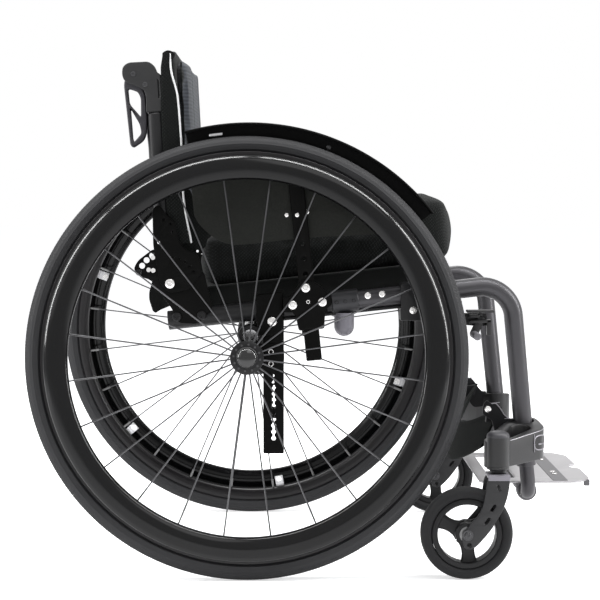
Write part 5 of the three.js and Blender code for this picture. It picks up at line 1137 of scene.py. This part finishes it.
# Painted highlight: the crown's top and a thin band along the top of the outer arm are pale grey, standing
# for light on the fork's top edge, while the arms are dark.
fork_highlight_grey = grained("fork_crown_grey", "grey_satin", (0.1375, 0.1313, 0.15), (0.1875, 0.1812, 0.2), 0.4,
    0.06, metal=0.3, fine=1100.0, bump=0.08)
fork_shares = np.array([
    (-0.36, 1.065), (0.35, 1.065), (0.31, 0.79), (0.16, 0.49), (-0.24, 0.1), (-0.66, -0.17), (-0.87, -0.26),
    (-1.09, -0.25), (-1.2, -0.09), (-1.03, 0.13), (-0.56, 0.42), (-0.46, 0.69),
])
fork_outline = rounded(fork_shares * (0.0415, 0.0745) + (STEM_X, CASTER_Z), 0.014, 8)
fork_holes = [
    long_hole((0.3312, 0.127), (0.333, 0.1215), 0.0016),
    long_hole((0.3228, 0.0945), (0.3268, 0.1005), 0.0019),
    long_hole((0.3152, 0.0775), (0.3195, 0.083), 0.0019), ring(0.2935, 0.0482, 0.003)]
CROWN_TOP = 0.141
arms = [plate(fork_outline, near, near + FORK_PLATE, 0.001, fork_holes)
        for near in (FORK_INNER, FORK_OUTER - FORK_PLATE)]
pair("fork_arms_{}", arms, "caster_fork_{}", fork_grey, "caster_fork_{}")
crown = oblong(STEM_X - 0.015, STEM_X + 0.0145, FORK_INNER + 0.0005, FORK_OUTER - 0.0005, 0.003)
pair("fork_crown_{}", [plate(crown, CROWN_TOP - 0.0045, CROWN_TOP, 0.0012, lying=True)], "caster_fork_{}",
    fork_highlight_grey)
# A thin pale band on the outer arm's top edge: painted highlight.
band = cut([(STEM_X - 0.0148, 0.1338), (STEM_X + 0.014, 0.1338), (STEM_X + 0.0145, 0.1405),
    (STEM_X - 0.0148, 0.1405)], 0.001, FORK_OUTER - 0.0004, FORK_OUTER + 0.0004, 0.0003)
pair("fork_highlight_band_{}", [band], "caster_fork_{}", fork_highlight_grey)
race = [(0.0, 0.1405), (0.0108, 0.1405), (0.0112, 0.1412), (0.0112, 0.1452), (0.0106, 0.1457),
    (0.0059, 0.1457), (0.0059, 0.185), (0.0, 0.185)]
pair("fork_race_{}", [upright(race, STEM_X, STEM_Y)], "caster_fork_{}", hub_black)
axle = [rods(at(CASTER_X, FORK_INNER - 0.001, CASTER_Z)[None],
    at(CASTER_X, FORK_OUTER + 0.001, CASTER_Z)[None], 0.0039, 20)]
washer = np.array([(0.004, 0.2843), (0.007, 0.2843), (0.0072, 0.2849), (0.007, 0.2855), (0.004, 0.2855)])
for profile in (washer, washer * (1, -1) + (0, FORK_INNER + FORK_OUTER)):
    axle.append(level_ring(profile, 40, CASTER_X, CASTER_Z))
axle += screw_heads([at(CASTER_X, 0.2853, CASTER_Z)], 0.0046, 0.0026, socket=0.45)
axle += screw_heads([at(CASTER_X, 0.2407, CASTER_Z)], 0.006, 0.003, way=(0, -1, 0))
pair("fork_bolt_{}", axle, "caster_fork_{}", (caster_bolt_steel[0], "grey_satin"))

# The footplate. A pale sheet with a darker strip near its front, a narrow slot
# and a wide opening behind it, and saddles clamped round the footrest tube.
PLATE_LOW, PLATE_HIGH = 0.109, 0.112
plate_pale = grained("plate_pale", "pale_metal", (0.288, 0.28, 0.288), (0.352, 0.344, 0.352), 0.42, 0.06,
    metal=0.55, fine=1100.0, bump=0.08)
plate_dark = grained("plate_dark", "pale_metal", (0.075, 0.0725, 0.0775), (0.1, 0.0975, 0.1025), 0.45, 0.06,
    metal=0.5, fine=1100.0, bump=0.08)
FOOT_HALF, FOOT_REAR, FOOT_FRONT = 0.144, 0.3215, 0.4795
plate_outline = rounded([
    (FOOT_REAR, -FOOT_HALF), (FOOT_FRONT - 0.02, -FOOT_HALF), (FOOT_FRONT, -FOOT_HALF + 0.032),
    (FOOT_FRONT, -0.02), (FOOT_FRONT - 0.012, -0.012), (FOOT_FRONT - 0.012, 0.012), (FOOT_FRONT, 0.02),
    (FOOT_FRONT, FOOT_HALF - 0.032), (FOOT_FRONT - 0.02, FOOT_HALF), (FOOT_REAR, FOOT_HALF),
], 0.01)
plate_holes = [long_hole((0.397, -0.105), (0.397, 0.105), 0.0032, 10),
    oblong(0.34, 0.3755, -0.112, 0.112, 0.006)]
strip_outline = oblong(0.424, 0.445, -0.1415, 0.1415, 0.002)
saddle = [(0.0103, 0.127), (0.0132, 0.127), (0.0138, 0.1277), (0.0138, 0.1403), (0.0132, 0.141),
    (0.0103, 0.141)]
parts = [plate(plate_outline, PLATE_LOW, PLATE_HIGH, 0.0008, plate_holes, lying=True)]
piece("footplate_sheet", parts, "footplate", plate_pale, ["footplate"])
piece("footplate_strip", [plate(strip_outline, PLATE_HIGH - 0.0003, PLATE_HIGH + 0.0006, 0.0003,
    lying=True)], "footplate", plate_dark)
saddles = [level_ring(saddle, 40, FOOT_X, FOOT_Z)]
saddles.append(plate(oblong(FOOT_X - 0.014, FOOT_X + 0.014, 0.1275, 0.1405, 0.002), 0.1085, 0.1105, 0.0005,
    lying=True))
pair("footplate_saddle_{}", saddles, "footplate", plate_dark)
rivets = screw_heads([at(0.4345, y, PLATE_HIGH + 0.0005) for y in (0.081, 0.06)], 0.0042, 0.0013,
    way=(0, 0, 1))
tab = plate(oblong(0.47, 0.4785, 0.1015, 0.1105, 0.002), 0.118, 0.1215, 0.0005)
pair("footplate_rivets_{}", rivets, "footplate", bright_screw)
pair("footplate_tab_{}", [tab], "footplate", plate_dark)

# The brakes. A clamp on each rail holds a plate with the pivot. The lever turns
# on it, with a thin folded handle above and a knurled shoe bar over the tyre.
BRAKE_X, BRAKE_Z = 0.315, 0.341
mount_outline = rounded([(0.207, 0.3399), (0.241, 0.3399), (0.241, 0.3938), (0.207, 0.3902)], 0.003)
bracket_plate = rounded([(0.224, 0.3399), (0.315, 0.332), (0.324, 0.332), (0.324, 0.35), (0.224, 0.35)],
    0.004)
arm_outline = long_hole((BRAKE_X, BRAKE_Z), (0.306, 0.322), 0.0055, 12)
handle_outline = oblong(0.295, 0.3325, 0.3515, 0.355, 0.0015)
link_outlines = [rounded(link, 0.001) for link in (
    [(0.299, 0.3445), (0.3125, 0.3445), (0.3125, 0.3485), (0.299, 0.3485)],
    [(0.299, 0.3365), (0.3285, 0.338), (0.3285, 0.342), (0.299, 0.3405)],
    [(0.323, 0.3205), (0.3285, 0.3205), (0.3285, 0.3415), (0.3225, 0.3415)])]
stalk_outline = rounded([(0.3125, 0.341), (0.3175, 0.341), (0.317, 0.353), (0.313, 0.353)], 0.001)
parts = [plate(mount_outline, 0.2012, 0.205, 0.001), plate(mount_outline, 0.171, 0.1748, 0.001),
    plate(bracket_plate, 0.1955, 0.201, 0.0008)]
parts += [cut(strip, 0.001, *BRIDGE, 0.0008) for strip in (
    [(0.207, 0.3865), (0.241, 0.3901), (0.241, 0.3938), (0.207, 0.3902)],
    [(0.207, 0.3399), (0.241, 0.3399), (0.241, 0.36), (0.207, 0.3565)])]
pair("brake_clamp_{}", parts, "frame", black_anodised, "brake_mount_{}")
pair("brake_clamp_screw_{}", screw_heads([at(0.2236, 0.2048, 0.3542)], 0.0052, 0.0026), "frame",
    bright_screw)
lever = [plate(arm_outline, 0.2013, 0.2063, 0.001), plate(stalk_outline, 0.2013, 0.2063, 0.0008),
    plate(handle_outline, 0.2013, 0.2193, 0.001)]
lever += [plate(link, 0.2013, 0.215, 0.0008) for link in link_outlines]
lever += screw_heads([at(BRAKE_X, 0.2061, BRAKE_Z)], 0.0052, 0.0024)
pair("brake_arm_{}", lever, "brake_{}", casting_grey, "brake_lever_{}")
notch = np.linspace(0.2063, 0.252, 47)
radius = 0.0048 + 0.0003 * np.cos(np.arange(47) * np.pi)
bar = [(0.0, 0.205), (0.0046, 0.205)] + list(zip(radius, notch)) + [(0.004, 0.2526), (0.0, 0.2526)]
pair("brake_shoe_{}", [shell(turned(bar, 32) + at(0.306, 0, 0.322))], "brake_{}", shoe_grey)

# Cloth of the seat and back. Black spacer mesh is knitted in slanting rows of
# small holes. The pad's cover is ribbed across, and the webbing is woven tight.
weave, weave_in, weave_out = effect("weave", {"Pitch": 680.0}, ("Net",))
weave_place = node(weave, "TexCoord")
net = None
for way in ((1, 1, 1), (1, -1, -1), (1, 1, -1)):
    along = node(weave, "VectorMath", {0: weave_place.outputs["Object"], 1: way}, operation="DOT_PRODUCT")
    count = sum_up(weave, "MULTIPLY", along.outputs["Value"], weave_in.outputs["Pitch"])
    wave = sum_up(weave, "SINE", count)
    net = wave if net is None else sum_up(weave, "MULTIPLY", net, wave)
weave.links.new(sum_up(weave, "ABSOLUTE", net), weave_out.inputs["Net"])

ribs, ribs_in, ribs_out = effect("ribs", {"Pitch": 1250.0}, ("Rib",))
ribs_place = node(ribs, "TexCoord")
ribs_height = node(ribs, "SeparateXYZ", {0: ribs_place.outputs["Object"]})
ribs_count = sum_up(ribs, "MULTIPLY", ribs_height.outputs["Z"], ribs_in.outputs["Pitch"])
ribs_half = sum_up(ribs, "MULTIPLY_ADD", sum_up(ribs, "SINE", ribs_count), 0.5, 0.5)
ribs.links.new(ribs_half, ribs_out.inputs["Rib"])


def cloth(name, slot, deep, thread, kind, pattern, pitch, relief=0.6, depth=0.0006, sheen=0.15, side=None):
    """A cloth whose threads and hollows have two shades. A side colour takes over where the piece's own
    side attribute is 1."""
    material, tree, fuzz = ground(name, 1400.0, 14.0)
    pattern_node = node(tree, "Group", node_tree=kind)
    pattern_node.inputs["Pitch"].default_value = pitch
    shade = blended(tree, pattern_node.outputs[pattern], deep, thread)
    worn = blended(tree, fuzz.outputs["Blotch"], tuple(0.8 * part for part in deep), shade)
    height = sum_up(tree, "MULTIPLY_ADD", fuzz.outputs["Skin"], 0.35, pattern_node.outputs[pattern])
    colour = blended(tree, 0.25, shade, worn)
    if side:
        edge = node(tree, "Attribute", attribute_name="side")
        net_node = node(tree, "Group", node_tree=weave)
        dark = blended(tree, net_node.outputs["Net"], *side)
        colour = blended(tree, edge.outputs["Fac"], colour, dark)
    coat(tree, fuzz, colour, 0.8, 0.98, height, relief, depth,
         {"Specular IOR Level": 0.12, "Sheen Weight": sheen, "Sheen Roughness": 0.5})
    return material, slot


MESH_SHADES = (0.004, 0.0048, 0.0043), (0.018, 0.0205, 0.0192)
BACK_SHADES = (0.0012, 0.0015, 0.0013), (0.0125, 0.0145, 0.0135)
mesh_cloth = cloth("mesh_cloth", "mesh_fabric", *BACK_SHADES, weave, "Net", 680.0, 0.7, sheen=0.05)
pad_cloth = cloth("pad_cloth", "ribbed_fabric", (0.018, 0.0205, 0.025), (0.034, 0.038, 0.046), ribs, "Rib",
    1250.0, 0.5, 0.0008, side=MESH_SHADES)
sheet_cloth = cloth("sheet_cloth", "strap_fabric", (0.004, 0.0045, 0.0042), (0.009, 0.0098, 0.0092), weave,
    "Net", 2400.0, 0.5, 0.0003, sheen=0.05)
webbing = cloth("webbing", "strap_fabric", (0.0022, 0.0028, 0.0025), (0.005, 0.0061, 0.0054), weave, "Net",
    1900.0, 0.6, 0.0004, sheen=0.0)
binding_tape = cloth("binding_tape", "mesh_fabric", (0.0028, 0.0032, 0.003), (0.0062, 0.007, 0.0066), ribs,
    "Rib", 3000.0, 0.6, 0.0003, sheen=0.0)
white_piping = cloth("white_piping", "mesh_fabric", (0.62, 0.62, 0.62), (0.8, 0.8, 0.8), weave, "Net",
    2600.0, 0.4, 0.0002, sheen=0.0)


def squared_ball(rows, columns, ends, first, second):
    """A ball made squarer: how far along its axis each row is, then how far each point is out by sine and
    by cosine."""
    swing = np.linspace(-np.pi / 2, np.pi / 2, rows)[:, None]
    turn = full_turn(columns)[None, :]
    spread = np.abs(np.cos(swing)) ** ends
    return squared(np.sin(swing), ends), squared(np.sin(turn), first) * spread, squared(np.cos(turn),
        second) * spread


def inflated(name, form, cell, cap, kept):
    """A closed form remeshed to even squares and blown up as cloth for twenty frames. No point ends further
    than the cap from its start, and the rule called kept then puts back whatever rests on something."""
    mesh = shelled(name, [form])
    holder = bpy.data.objects.new(name, mesh)
    scene.collection.objects.link(holder)
    remesh = holder.modifiers.new("even", "REMESH")
    remesh.mode, remesh.voxel_size = "VOXEL", cell
    graph = bpy.context.evaluated_depsgraph_get()
    even = bpy.data.meshes.new_from_object(holder.evaluated_get(graph))
    holder.modifiers.clear()
    holder.data = even
    start = np.empty(len(even.vertices) * 3, np.float32)
    even.vertices.foreach_get("co", start)
    moved = start.copy()
    air = holder.modifiers.new("air", "CLOTH")
    air.settings.quality = 4
    air.settings.use_pressure = True
    air.settings.uniform_pressure_force = 4
    air.settings.effector_weights.gravity = 0
    air.point_cache.frame_end = 20
    for frame_number in range(1, 21):
        scene.frame_set(frame_number)
    blown = holder.evaluated_get(bpy.context.evaluated_depsgraph_get())
    blown.data.vertices.foreach_get("co", moved)
    scene.frame_set(1)
    holder.modifiers.clear()
    start, moved = start.reshape(-1, 3).astype(float), moved.reshape(-1, 3).astype(float)
    shift = moved - start
    size = np.linalg.norm(shift, axis=1)[:, None]
    settled = kept(start + shift * np.minimum(1, cap / np.maximum(size, 1e-9)))
    even.vertices.foreach_set("co", settled.ravel())
    even.polygons.foreach_set("use_smooth", [True] * len(even.polygons))
    bpy.data.objects.remove(holder)
    even.name = name
    return even, settled


def under(points, path, plane, out, toward, reach=0.004):
    """How far out the cloth lies below each place of a path: the mean of the points facing that way,
    weighed by closeness."""
    facing = points[points[:, out] * toward > 0.35 * (points[:, out] * toward).max()]
    gap = facing[:, None, plane] - path[None]
    weight = np.exp(-(gap ** 2).sum(-1) / (2 * reach ** 2)) + 1e-12
    return (weight * facing[:, out, None]).sum(0) / weight.sum(0)


def softened(made):
    """One smooth subdivision on a piece of cloth."""
    smooth = made.modifiers.new("smooth", "SUBSURF")
    smooth.levels = smooth.render_levels = 1
    return made


# The seat sheet. Strong black cloth is stretched between the rails and hemmed
# front and back. A skirt goes down inside each rail, out to a loose rear flap.
SHEET_REAR, SHEET_FRONT, SHEET_LIFT, SKIRT_FACE, CLOTH_THICK = -0.066, 0.268, 0.0395, 0.1705, 0.0022


def seat_sheet_grid():
    """The sheet in rows from back to front: each row goes across its top and back below it. It dips a
    little in the middle, and both hems are thicker."""
    x = np.linspace(SHEET_REAR, SHEET_FRONT, 61)[:, None]
    across = np.linspace(-1, 1, 41)
    top = rail_z(x) + SHEET_LIFT - 0.0012 * (1 - across[None] ** 2)
    near_hem = np.minimum(x - SHEET_REAR, SHEET_FRONT - x)
    thick = CLOTH_THICK + 0.001 / (1 + np.exp((near_hem - 0.011) / 0.0008))
    upper = joined(x, across[None] * SKIRT_FACE, top)
    lower = (upper - thick[..., None] * (0, 0, 1))[:, ::-1]
    return np.concatenate([upper, lower], 1) + (AXLE_X, 0, 0)


def skirt_grid():
    """One skirt in columns from the flap to the front: its top and bottom follow the rail, then the flap's
    own edge, and the cloth waves a little as it hangs."""
    x = np.concatenate([np.linspace(-0.1318, -0.068, 33), np.linspace(-0.066, SHEET_FRONT, 60)])
    low = np.interp(x, (-0.132, -0.1313, -0.1264, -0.1203, -0.1058, -0.09, -0.066),
        (0.018, 0.0088, 0.0041, 0.0082, 0.0144, 0.004, -0.006))
    high = np.interp(x, (-0.132, -0.13, -0.105, -0.066), (0.042, 0.055, 0.055, SHEET_LIFT - 0.0002))
    base = rail_z(np.maximum(x, SHEET_REAR))
    share = np.linspace(0, 1, 15)
    z = base[:, None] + low[:, None] + (high - low)[:, None] * share
    loose = np.clip((-0.06 - x) / 0.02, 0, 1)[:, None] * (1 - share)
    wave = 0.0016 * loose * np.sin(x[:, None] * 170) - 0.0006 * (1 - share) * np.sin(x[:, None] * 60)
    flare = np.clip((-0.118 - x) / 0.014, 0, 1)[:, None] ** 2
    bulge = 0.0034 * flare * (1 - np.abs(2 * share - 0.9) ** 2.5)
    outer = joined(x[:, None] - bulge, SKIRT_FACE - 0.0022 - 0.0016 * loose + wave, z)
    inner = (outer - (0, CLOTH_THICK * 0.8, 0))[:, ::-1]
    return np.concatenate([outer, inner], 1) + (AXLE_X, 0, 0)


skirt = skirt_grid()
parts = [shell(seat_sheet_grid(), capped=True), shell(skirt, capped=True),
    shell(skirt * (1, -1, 1), capped=True)]
seat_sheet = piece("seat_sheet", parts, "frame", sheet_cloth, ["seat_sling"], crease=60)

# The seat cushion. A foam block in a cover of black mesh, higher in front, with
# two sewn channels on top and a corded seam round each side panel.
CUSHION_REAR, CUSHION_FRONT, CUSHION_HALF, CUSHION_LIFT = -0.071, 0.288, 0.174, 0.0398
CHANNEL_Y, CHANNEL_WIDE, CHANNEL_DEEP = 0.073, 0.011, 0.0032
CUSHION_MIDDLE = (CUSHION_REAR + CUSHION_FRONT) / 2
CUSHION_LONG = CUSHION_FRONT - CUSHION_REAR


def cushion_height(x):
    """Height of the cushion above the seat sheet, from its back to its front."""
    return 0.073 + 0.025 * (x - CUSHION_REAR) / CUSHION_LONG


def cushion_form():
    """A squared ellipse standing on the seat sheet, carried from back to front. The ends close by a high
    power and the top leans back."""
    ahead, tall, across = squared_ball(81, 128, 0.16, 0.24, 0.22)
    share = (tall + 1) / 2
    x = CUSHION_MIDDLE + ahead * (CUSHION_LONG / 2 - 0.0035) - 0.009 * np.maximum(ahead, 0) * share
    y = across * (CUSHION_HALF - 0.0055)
    z = rail_z(x) + CUSHION_LIFT + share * (cushion_height(x) - 0.0085) + 0.0005
    return shell(joined(AXLE_X + x, y, z))


def on_the_sheet(points):
    """The cushion kept above the seat sheet, inside the frame's width, and sunk along its two channels."""
    x, y, z = (points - (AXLE_X, 0, 0)).T
    floor_z = rail_z(x) + CUSHION_LIFT
    share = np.clip((z - floor_z) / cushion_height(x), 0, 1)
    sunk = np.exp(-(((np.abs(y) - CHANNEL_Y) / CHANNEL_WIDE) ** 2)) * CHANNEL_DEEP * share ** 6
    z = np.maximum(z, floor_z) - sunk
    return joined(AXLE_X + np.clip(x, CUSHION_REAR, CUSHION_FRONT), np.clip(y, -CUSHION_HALF, CUSHION_HALF),
        z)


cushion_mesh, cushion_skin = inflated("cushion", cushion_form(), 0.005, 0.009, on_the_sheet)
cushion = softened(piece("cushion", cushion_mesh, "frame", mesh_cloth, ["seat_cushion"]))
seam_corners = [(0.236, 0.499), (0.266, 0.4992), (0.2755, 0.486), (0.2805, 0.437), (0.272, 0.4275),
    (0.2, 0.4195), (-0.06, 0.3918)]
seam_plan = bent([(x, 0, z) for x, z in seam_corners], 0.012, 8)[:, [0, 2]]
seam_share = np.linspace(0, 1, 150)
run = np.concatenate([[0], np.cumsum(np.linalg.norm(np.diff(seam_plan, axis=0), axis=1))])
seam_plan = np.stack([np.interp(seam_share * run[-1], run, seam_plan[:, k]) for k in (0, 1)], -1)
for side, sign in SIDES:
    out = under(cushion_skin, seam_plan + (AXLE_X, 0), [0, 2], 1, sign)
    cord = joined(AXLE_X + seam_plan[:, 0], np.abs(out) + 0.0002, seam_plan[:, 1])
    piece(f"cushion_seam_{side}", [tube(cord, 0.0011, 10, guide=(0, 1, 0.01), wall=0.0004)], "frame",
        binding_tape, sign=sign)

# The back shell. Firm mesh cloth is laced round the canes, with a white cord
# down the front edge of each side panel and a loose corner beside the cushion.
SHELL_REAR, SHELL_FRONT, SHELL_LOW, SHELL_TOP, SHELL_HALF = 0.0063, 0.0243, 0.098, 0.316, 0.198
piping_path = np.array([
    (0.0322, 0.053), (0.0287, 0.074), (0.0252, 0.1), (0.024, 0.127), (0.0257, 0.185), (0.025, 0.232),
    (0.0238, 0.259), (0.0186, 0.275), (0.0161, 0.293), (0.0181, 0.309),
])
rear_edge = np.array([
    (0.011, 0.053), (0.005, 0.074), (0.0008, 0.1), (0.0004, 0.127), (0.0004, 0.185), (0.0004, 0.229),
    (0.002, 0.259), (0.003, 0.275), (0.0036, 0.2916), (0.0069, 0.3093),
])


def in_the_back(points):
    """Places given forwards of the pivot line, across and along the back, put in the room."""
    flat = on_back(points[..., [0, 2]])
    return joined(AXLE_X + flat[..., 0], points[..., 1], flat[..., 1])


def back_shell_grid():
    """Rows up the back, each a squared ellipse across the chair. The top rows draw together and tuck
    forwards."""
    rise, ahead, across = squared_ball(71, 160, 0.2, 0.5, 0.12)
    t = (SHELL_LOW + SHELL_TOP) / 2 + rise * (SHELL_TOP - SHELL_LOW) / 2
    n = (SHELL_REAR + SHELL_FRONT) / 2 + ahead * (SHELL_FRONT - SHELL_REAR) / 2
    dip = 0.0035 * (1 - across ** 2) * np.clip(rise, 0, 1) ** 8
    return in_the_back(joined(n, across * SHELL_HALF, t - dip))


def side_panel_grid():
    """The side panel in rows up the back: from its rear edge to the white cord and back on its inner face,
    swelling a little between."""
    t = np.linspace(0.053, 0.3125, 61)
    start = np.interp(t, rear_edge[:, 1], rear_edge[:, 0])
    end = np.interp(t, piping_path[:, 1], piping_path[:, 0]) + np.clip((t - 0.292) / 0.02, 0, 1) * 0.006
    share = np.linspace(0, 1, 13)
    n = start[:, None] + (end - start)[:, None] * share
    swell = 0.0013 * (1 - (2 * share[None] - 1) ** 4) * np.clip((t[:, None] - 0.11) / 0.03, 0, 1)
    crown = 0.0042 * (2 * share[None] - 0.9) ** 2 * np.clip((t[:, None] - 0.285) / 0.0275, 0, 1)
    outer = joined(n, 0.2006 + swell, t[:, None] - crown)
    inner = (outer * (1, 0, 1) + (0, 0.1996, 0))[:, ::-1]
    return in_the_back(np.concatenate([outer, inner], 1))


GUSSET = np.array([(0.02, 0.042), (0.05, 0.045), (0.056, 0.066), (0.048, 0.082), (0.04, 0.1),
    (0.034, 0.125), (0.024, 0.127)])


def gusset_grid():
    """The loose corner beside the cushion, in rings from its middle to its outline on one face and back to
    the middle on the other."""
    edge = np.array(rounded(GUSSET, 0.004))
    middle = edge.mean(axis=0)
    share = np.array([0.02, 0.35, 0.7, 1, 1, 0.7, 0.35, 0.02])[:, None, None]
    face = np.array([1, 1, 1, 1, -1, -1, -1, -1])[:, None] + 0 * edge[None, :, 0]
    spot = middle + share * (edge - middle)
    return in_the_back(joined(spot[..., 0], 0.1942 + 0.0007 * face, spot[..., 1]))


back_parts = [shell(back_shell_grid())]
back_parts += [shell(gusset_grid() * (1, sign, 1), capped=True) for _, sign in SIDES]
back_parts += [shell(side_panel_grid() * (1, sign, 1), capped=True) for _, sign in SIDES]
piece("back_mesh", back_parts, "backrest", mesh_cloth, ["back_shell"], crease=60)
along_cord = np.linspace(0.053, 0.309, 70)
cord_ahead = np.interp(along_cord, piping_path[:, 1], piping_path[:, 0])
cord_ahead = np.convolve(np.pad(cord_ahead, 3, "edge"), np.ones(7) / 7, "valid")
piping_route = in_the_back(joined(cord_ahead, 0.2008, along_cord))
pair("back_piping_{}", [tube(piping_route, 0.0013, 16, guide=(0, 1, 0.01), wall=0.0004)], "backrest",
    white_piping)

# The back pad. Soft foam in a ribbed grey-blue cover rests on the shell, with
# black mesh sides, two sewn channels down its front, and a corded side seam.
PAD_LOW, PAD_TOP, PAD_HALF, PAD_REAR, PAD_FRONT = 0.0672, 0.3135, 0.19, 0.0246, 0.0408
PAD_CHANNEL_Y, PAD_SEAM_Y = 0.095, 0.1765


def pad_rear(t):
    """How far forward the pad's rear face is: on the shell, and further back below the shell's lower
    edge."""
    low = np.clip((0.09 - t) / 0.012, 0, 1)
    return PAD_REAR - 0.0172 * low * low * (3 - 2 * low)


def pad_form():
    """A squared ellipse across the chair, carried up the back, shallower towards its top."""
    rise, ahead, across = squared_ball(81, 160, 0.13, 0.3, 0.14)
    t = (PAD_LOW + PAD_TOP) / 2 + rise * ((PAD_TOP - PAD_LOW) / 2 - 0.003)
    rear, front = pad_rear(t) + 0.0005, 0.0365 - 0.007 * np.abs(across) ** 4 + 0 * t
    slant = 0.013 * ((ahead + 1) / 2) ** 2 * np.clip(rise, 0, 1) ** 8
    return shell(in_the_back(joined((rear + front) / 2 + ahead * (front - rear) / 2,
        across * (PAD_HALF - 0.004), t - slant)))


def out_of_the_back(points):
    """The same places as in_the_back, read the other way round."""
    x, z = points[:, 0] - AXLE_X - BACK_PIVOT[0], points[:, 2] - BACK_PIVOT[1]
    cos, sin = math.cos(BACK_LEAN), math.sin(BACK_LEAN)
    return joined(x * cos - z * sin, points[:, 1], x * sin + z * cos)


def on_the_shell(points):
    """The pad kept in front of the shell and above the cushion, and sunk along its two channels and where
    the side seams draw in."""
    n, y, t = out_of_the_back(points).T
    rear = pad_rear(t)
    share = np.clip((n - rear) / (PAD_FRONT - rear), 0, 1)
    sunk = np.exp(-(((np.abs(y) - PAD_CHANNEL_Y) / 0.0075) ** 2)) * 0.006
    sunk += np.exp(-(((np.abs(y) - 0.176) / 0.004) ** 2)) * 0.0016
    lobe = 0.0085 * np.clip((np.abs(y) - 0.12) / 0.07, 0, 1) ** 2
    n = np.clip(n - sunk * share ** 2, rear, PAD_FRONT - lobe)
    return in_the_back(joined(n, np.clip(y, -PAD_HALF, PAD_HALF), np.clip(t, PAD_LOW, PAD_TOP + 0.002)))


pad_mesh, pad_skin = inflated("pad", pad_form(), 0.0045, 0.008, on_the_shell)
pad_back = out_of_the_back(pad_skin)
side_share = np.clip((np.abs(pad_back[:, 1]) - PAD_SEAM_Y) / 0.0015, 0, 1)
pad_mesh.attributes.new("side", "FLOAT", "POINT").data.foreach_set("value", side_share.astype(np.float32))
pad = softened(piece("pad", pad_mesh, "backrest", pad_cloth, ["back_pad"]))
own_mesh(pad)
pad_seam = joined(PAD_SEAM_Y, np.linspace(0.078, 0.298, 90))
for side, sign in SIDES:
    ahead = under(pad_back, pad_seam * (sign, 1), [1, 2], 0, 1)
    seam = in_the_back(joined(ahead + 0.0002, pad_seam[:, 0], pad_seam[:, 1]))
    cord = piece(f"pad_seam_{side}", [tube(seam, 0.001, 10, guide=(0, 1, 0.01), wall=0.0003)], "backrest",
        (binding_tape[0], "ribbed_fabric"), sign=sign)
    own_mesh(cord)

# The calf strap. A band of black webbing hangs in a curve between two black clip
# brackets screwed to the legs. Its upper and lower edges are bound with tape.
STRAP_END, STRAP_THICK = 0.158, 0.0026


def strap_grid(low=0.0, high=1.0, proud=0.0, reach=1.0):
    """The band in columns from side to side: it sags back and down by the square of the way to its middle,
    and leans back below."""
    across = np.linspace(-reach, reach, 81)[:, None]
    down = np.linspace(high, low, 13)[None, :]
    sag = 1 - across ** 2
    x = 0.348 - 0.0412 * sag - (1 - down) * (0.0245 - 0.009 * sag) - 0.003 * sag * np.sin(np.pi * down)
    z = 0.2165 - 0.0367 * sag - (1 - down) * 0.0535
    front = joined(x + STRAP_THICK / 2 + proud, STRAP_END * across, z)
    back = joined(x - STRAP_THICK / 2 - proud, STRAP_END * across, z)[:, ::-1]
    return np.concatenate([front, back], 1) + (AXLE_X, 0, 0)


strap = piece("strap_band", [shell(strap_grid(), capped=True)], "frame", webbing, ["calf_strap"], crease=60)
bindings = [shell(strap_grid(low, high, 0.0005), capped=True)
            for low, high in ((-0.01, 0.07), (0.93, 1.01))]
strap_binding = piece("strap_binding", bindings, "frame", (binding_tape[0], "strap_fabric"), crease=60)
bracket_curve = [(0.323, 0.2225), (0.328, 0.2285), (0.3335, 0.2235), (0.3395, 0.2245), (0.3456, 0.218),
    (0.3514, 0.2088), (0.3572, 0.203), (0.364, 0.203)]
clip_outline = rounded(bracket_curve + [(0.366, 0.196), (0.362, 0.181), (0.345, 0.179), (0.3385, 0.185),
    (0.335, 0.2), (0.3215, 0.2095)], 0.003)
# A thin pale tube along the bracket's upper curve is a painted highlight of light on its edge.
clip_edge_highlight = bent([at(x, 0.1735, z) for x, z in bracket_curve[2:]], 0.004, 4)
parts = [plate(clip_outline, 0.1665, 0.1735, 0.0012),
    cut([(0.329, 0.213), (0.3475, 0.2155), (0.344, 0.2), (0.327, 0.196)], 0.002, 0.154, 0.167, 0.0008)]
pair("strap_bracket_{}", parts, "frame", black_plastic)
pair("strap_bracket_edge_{}", [tube(clip_edge_highlight, 0.0007, 10, guide=(0, 1, 0.01), wall=0.0003)], "frame",
    painted_highlight_steel)
pair("strap_bracket_screws_{}", screw_heads([at(0.329, 0.1732, 0.216)], 0.0048, 0.0022)
    + screw_heads([at(0.3566, 0.1732, 0.1855)], 0.0034, 0.0018), "frame", bright_screw)
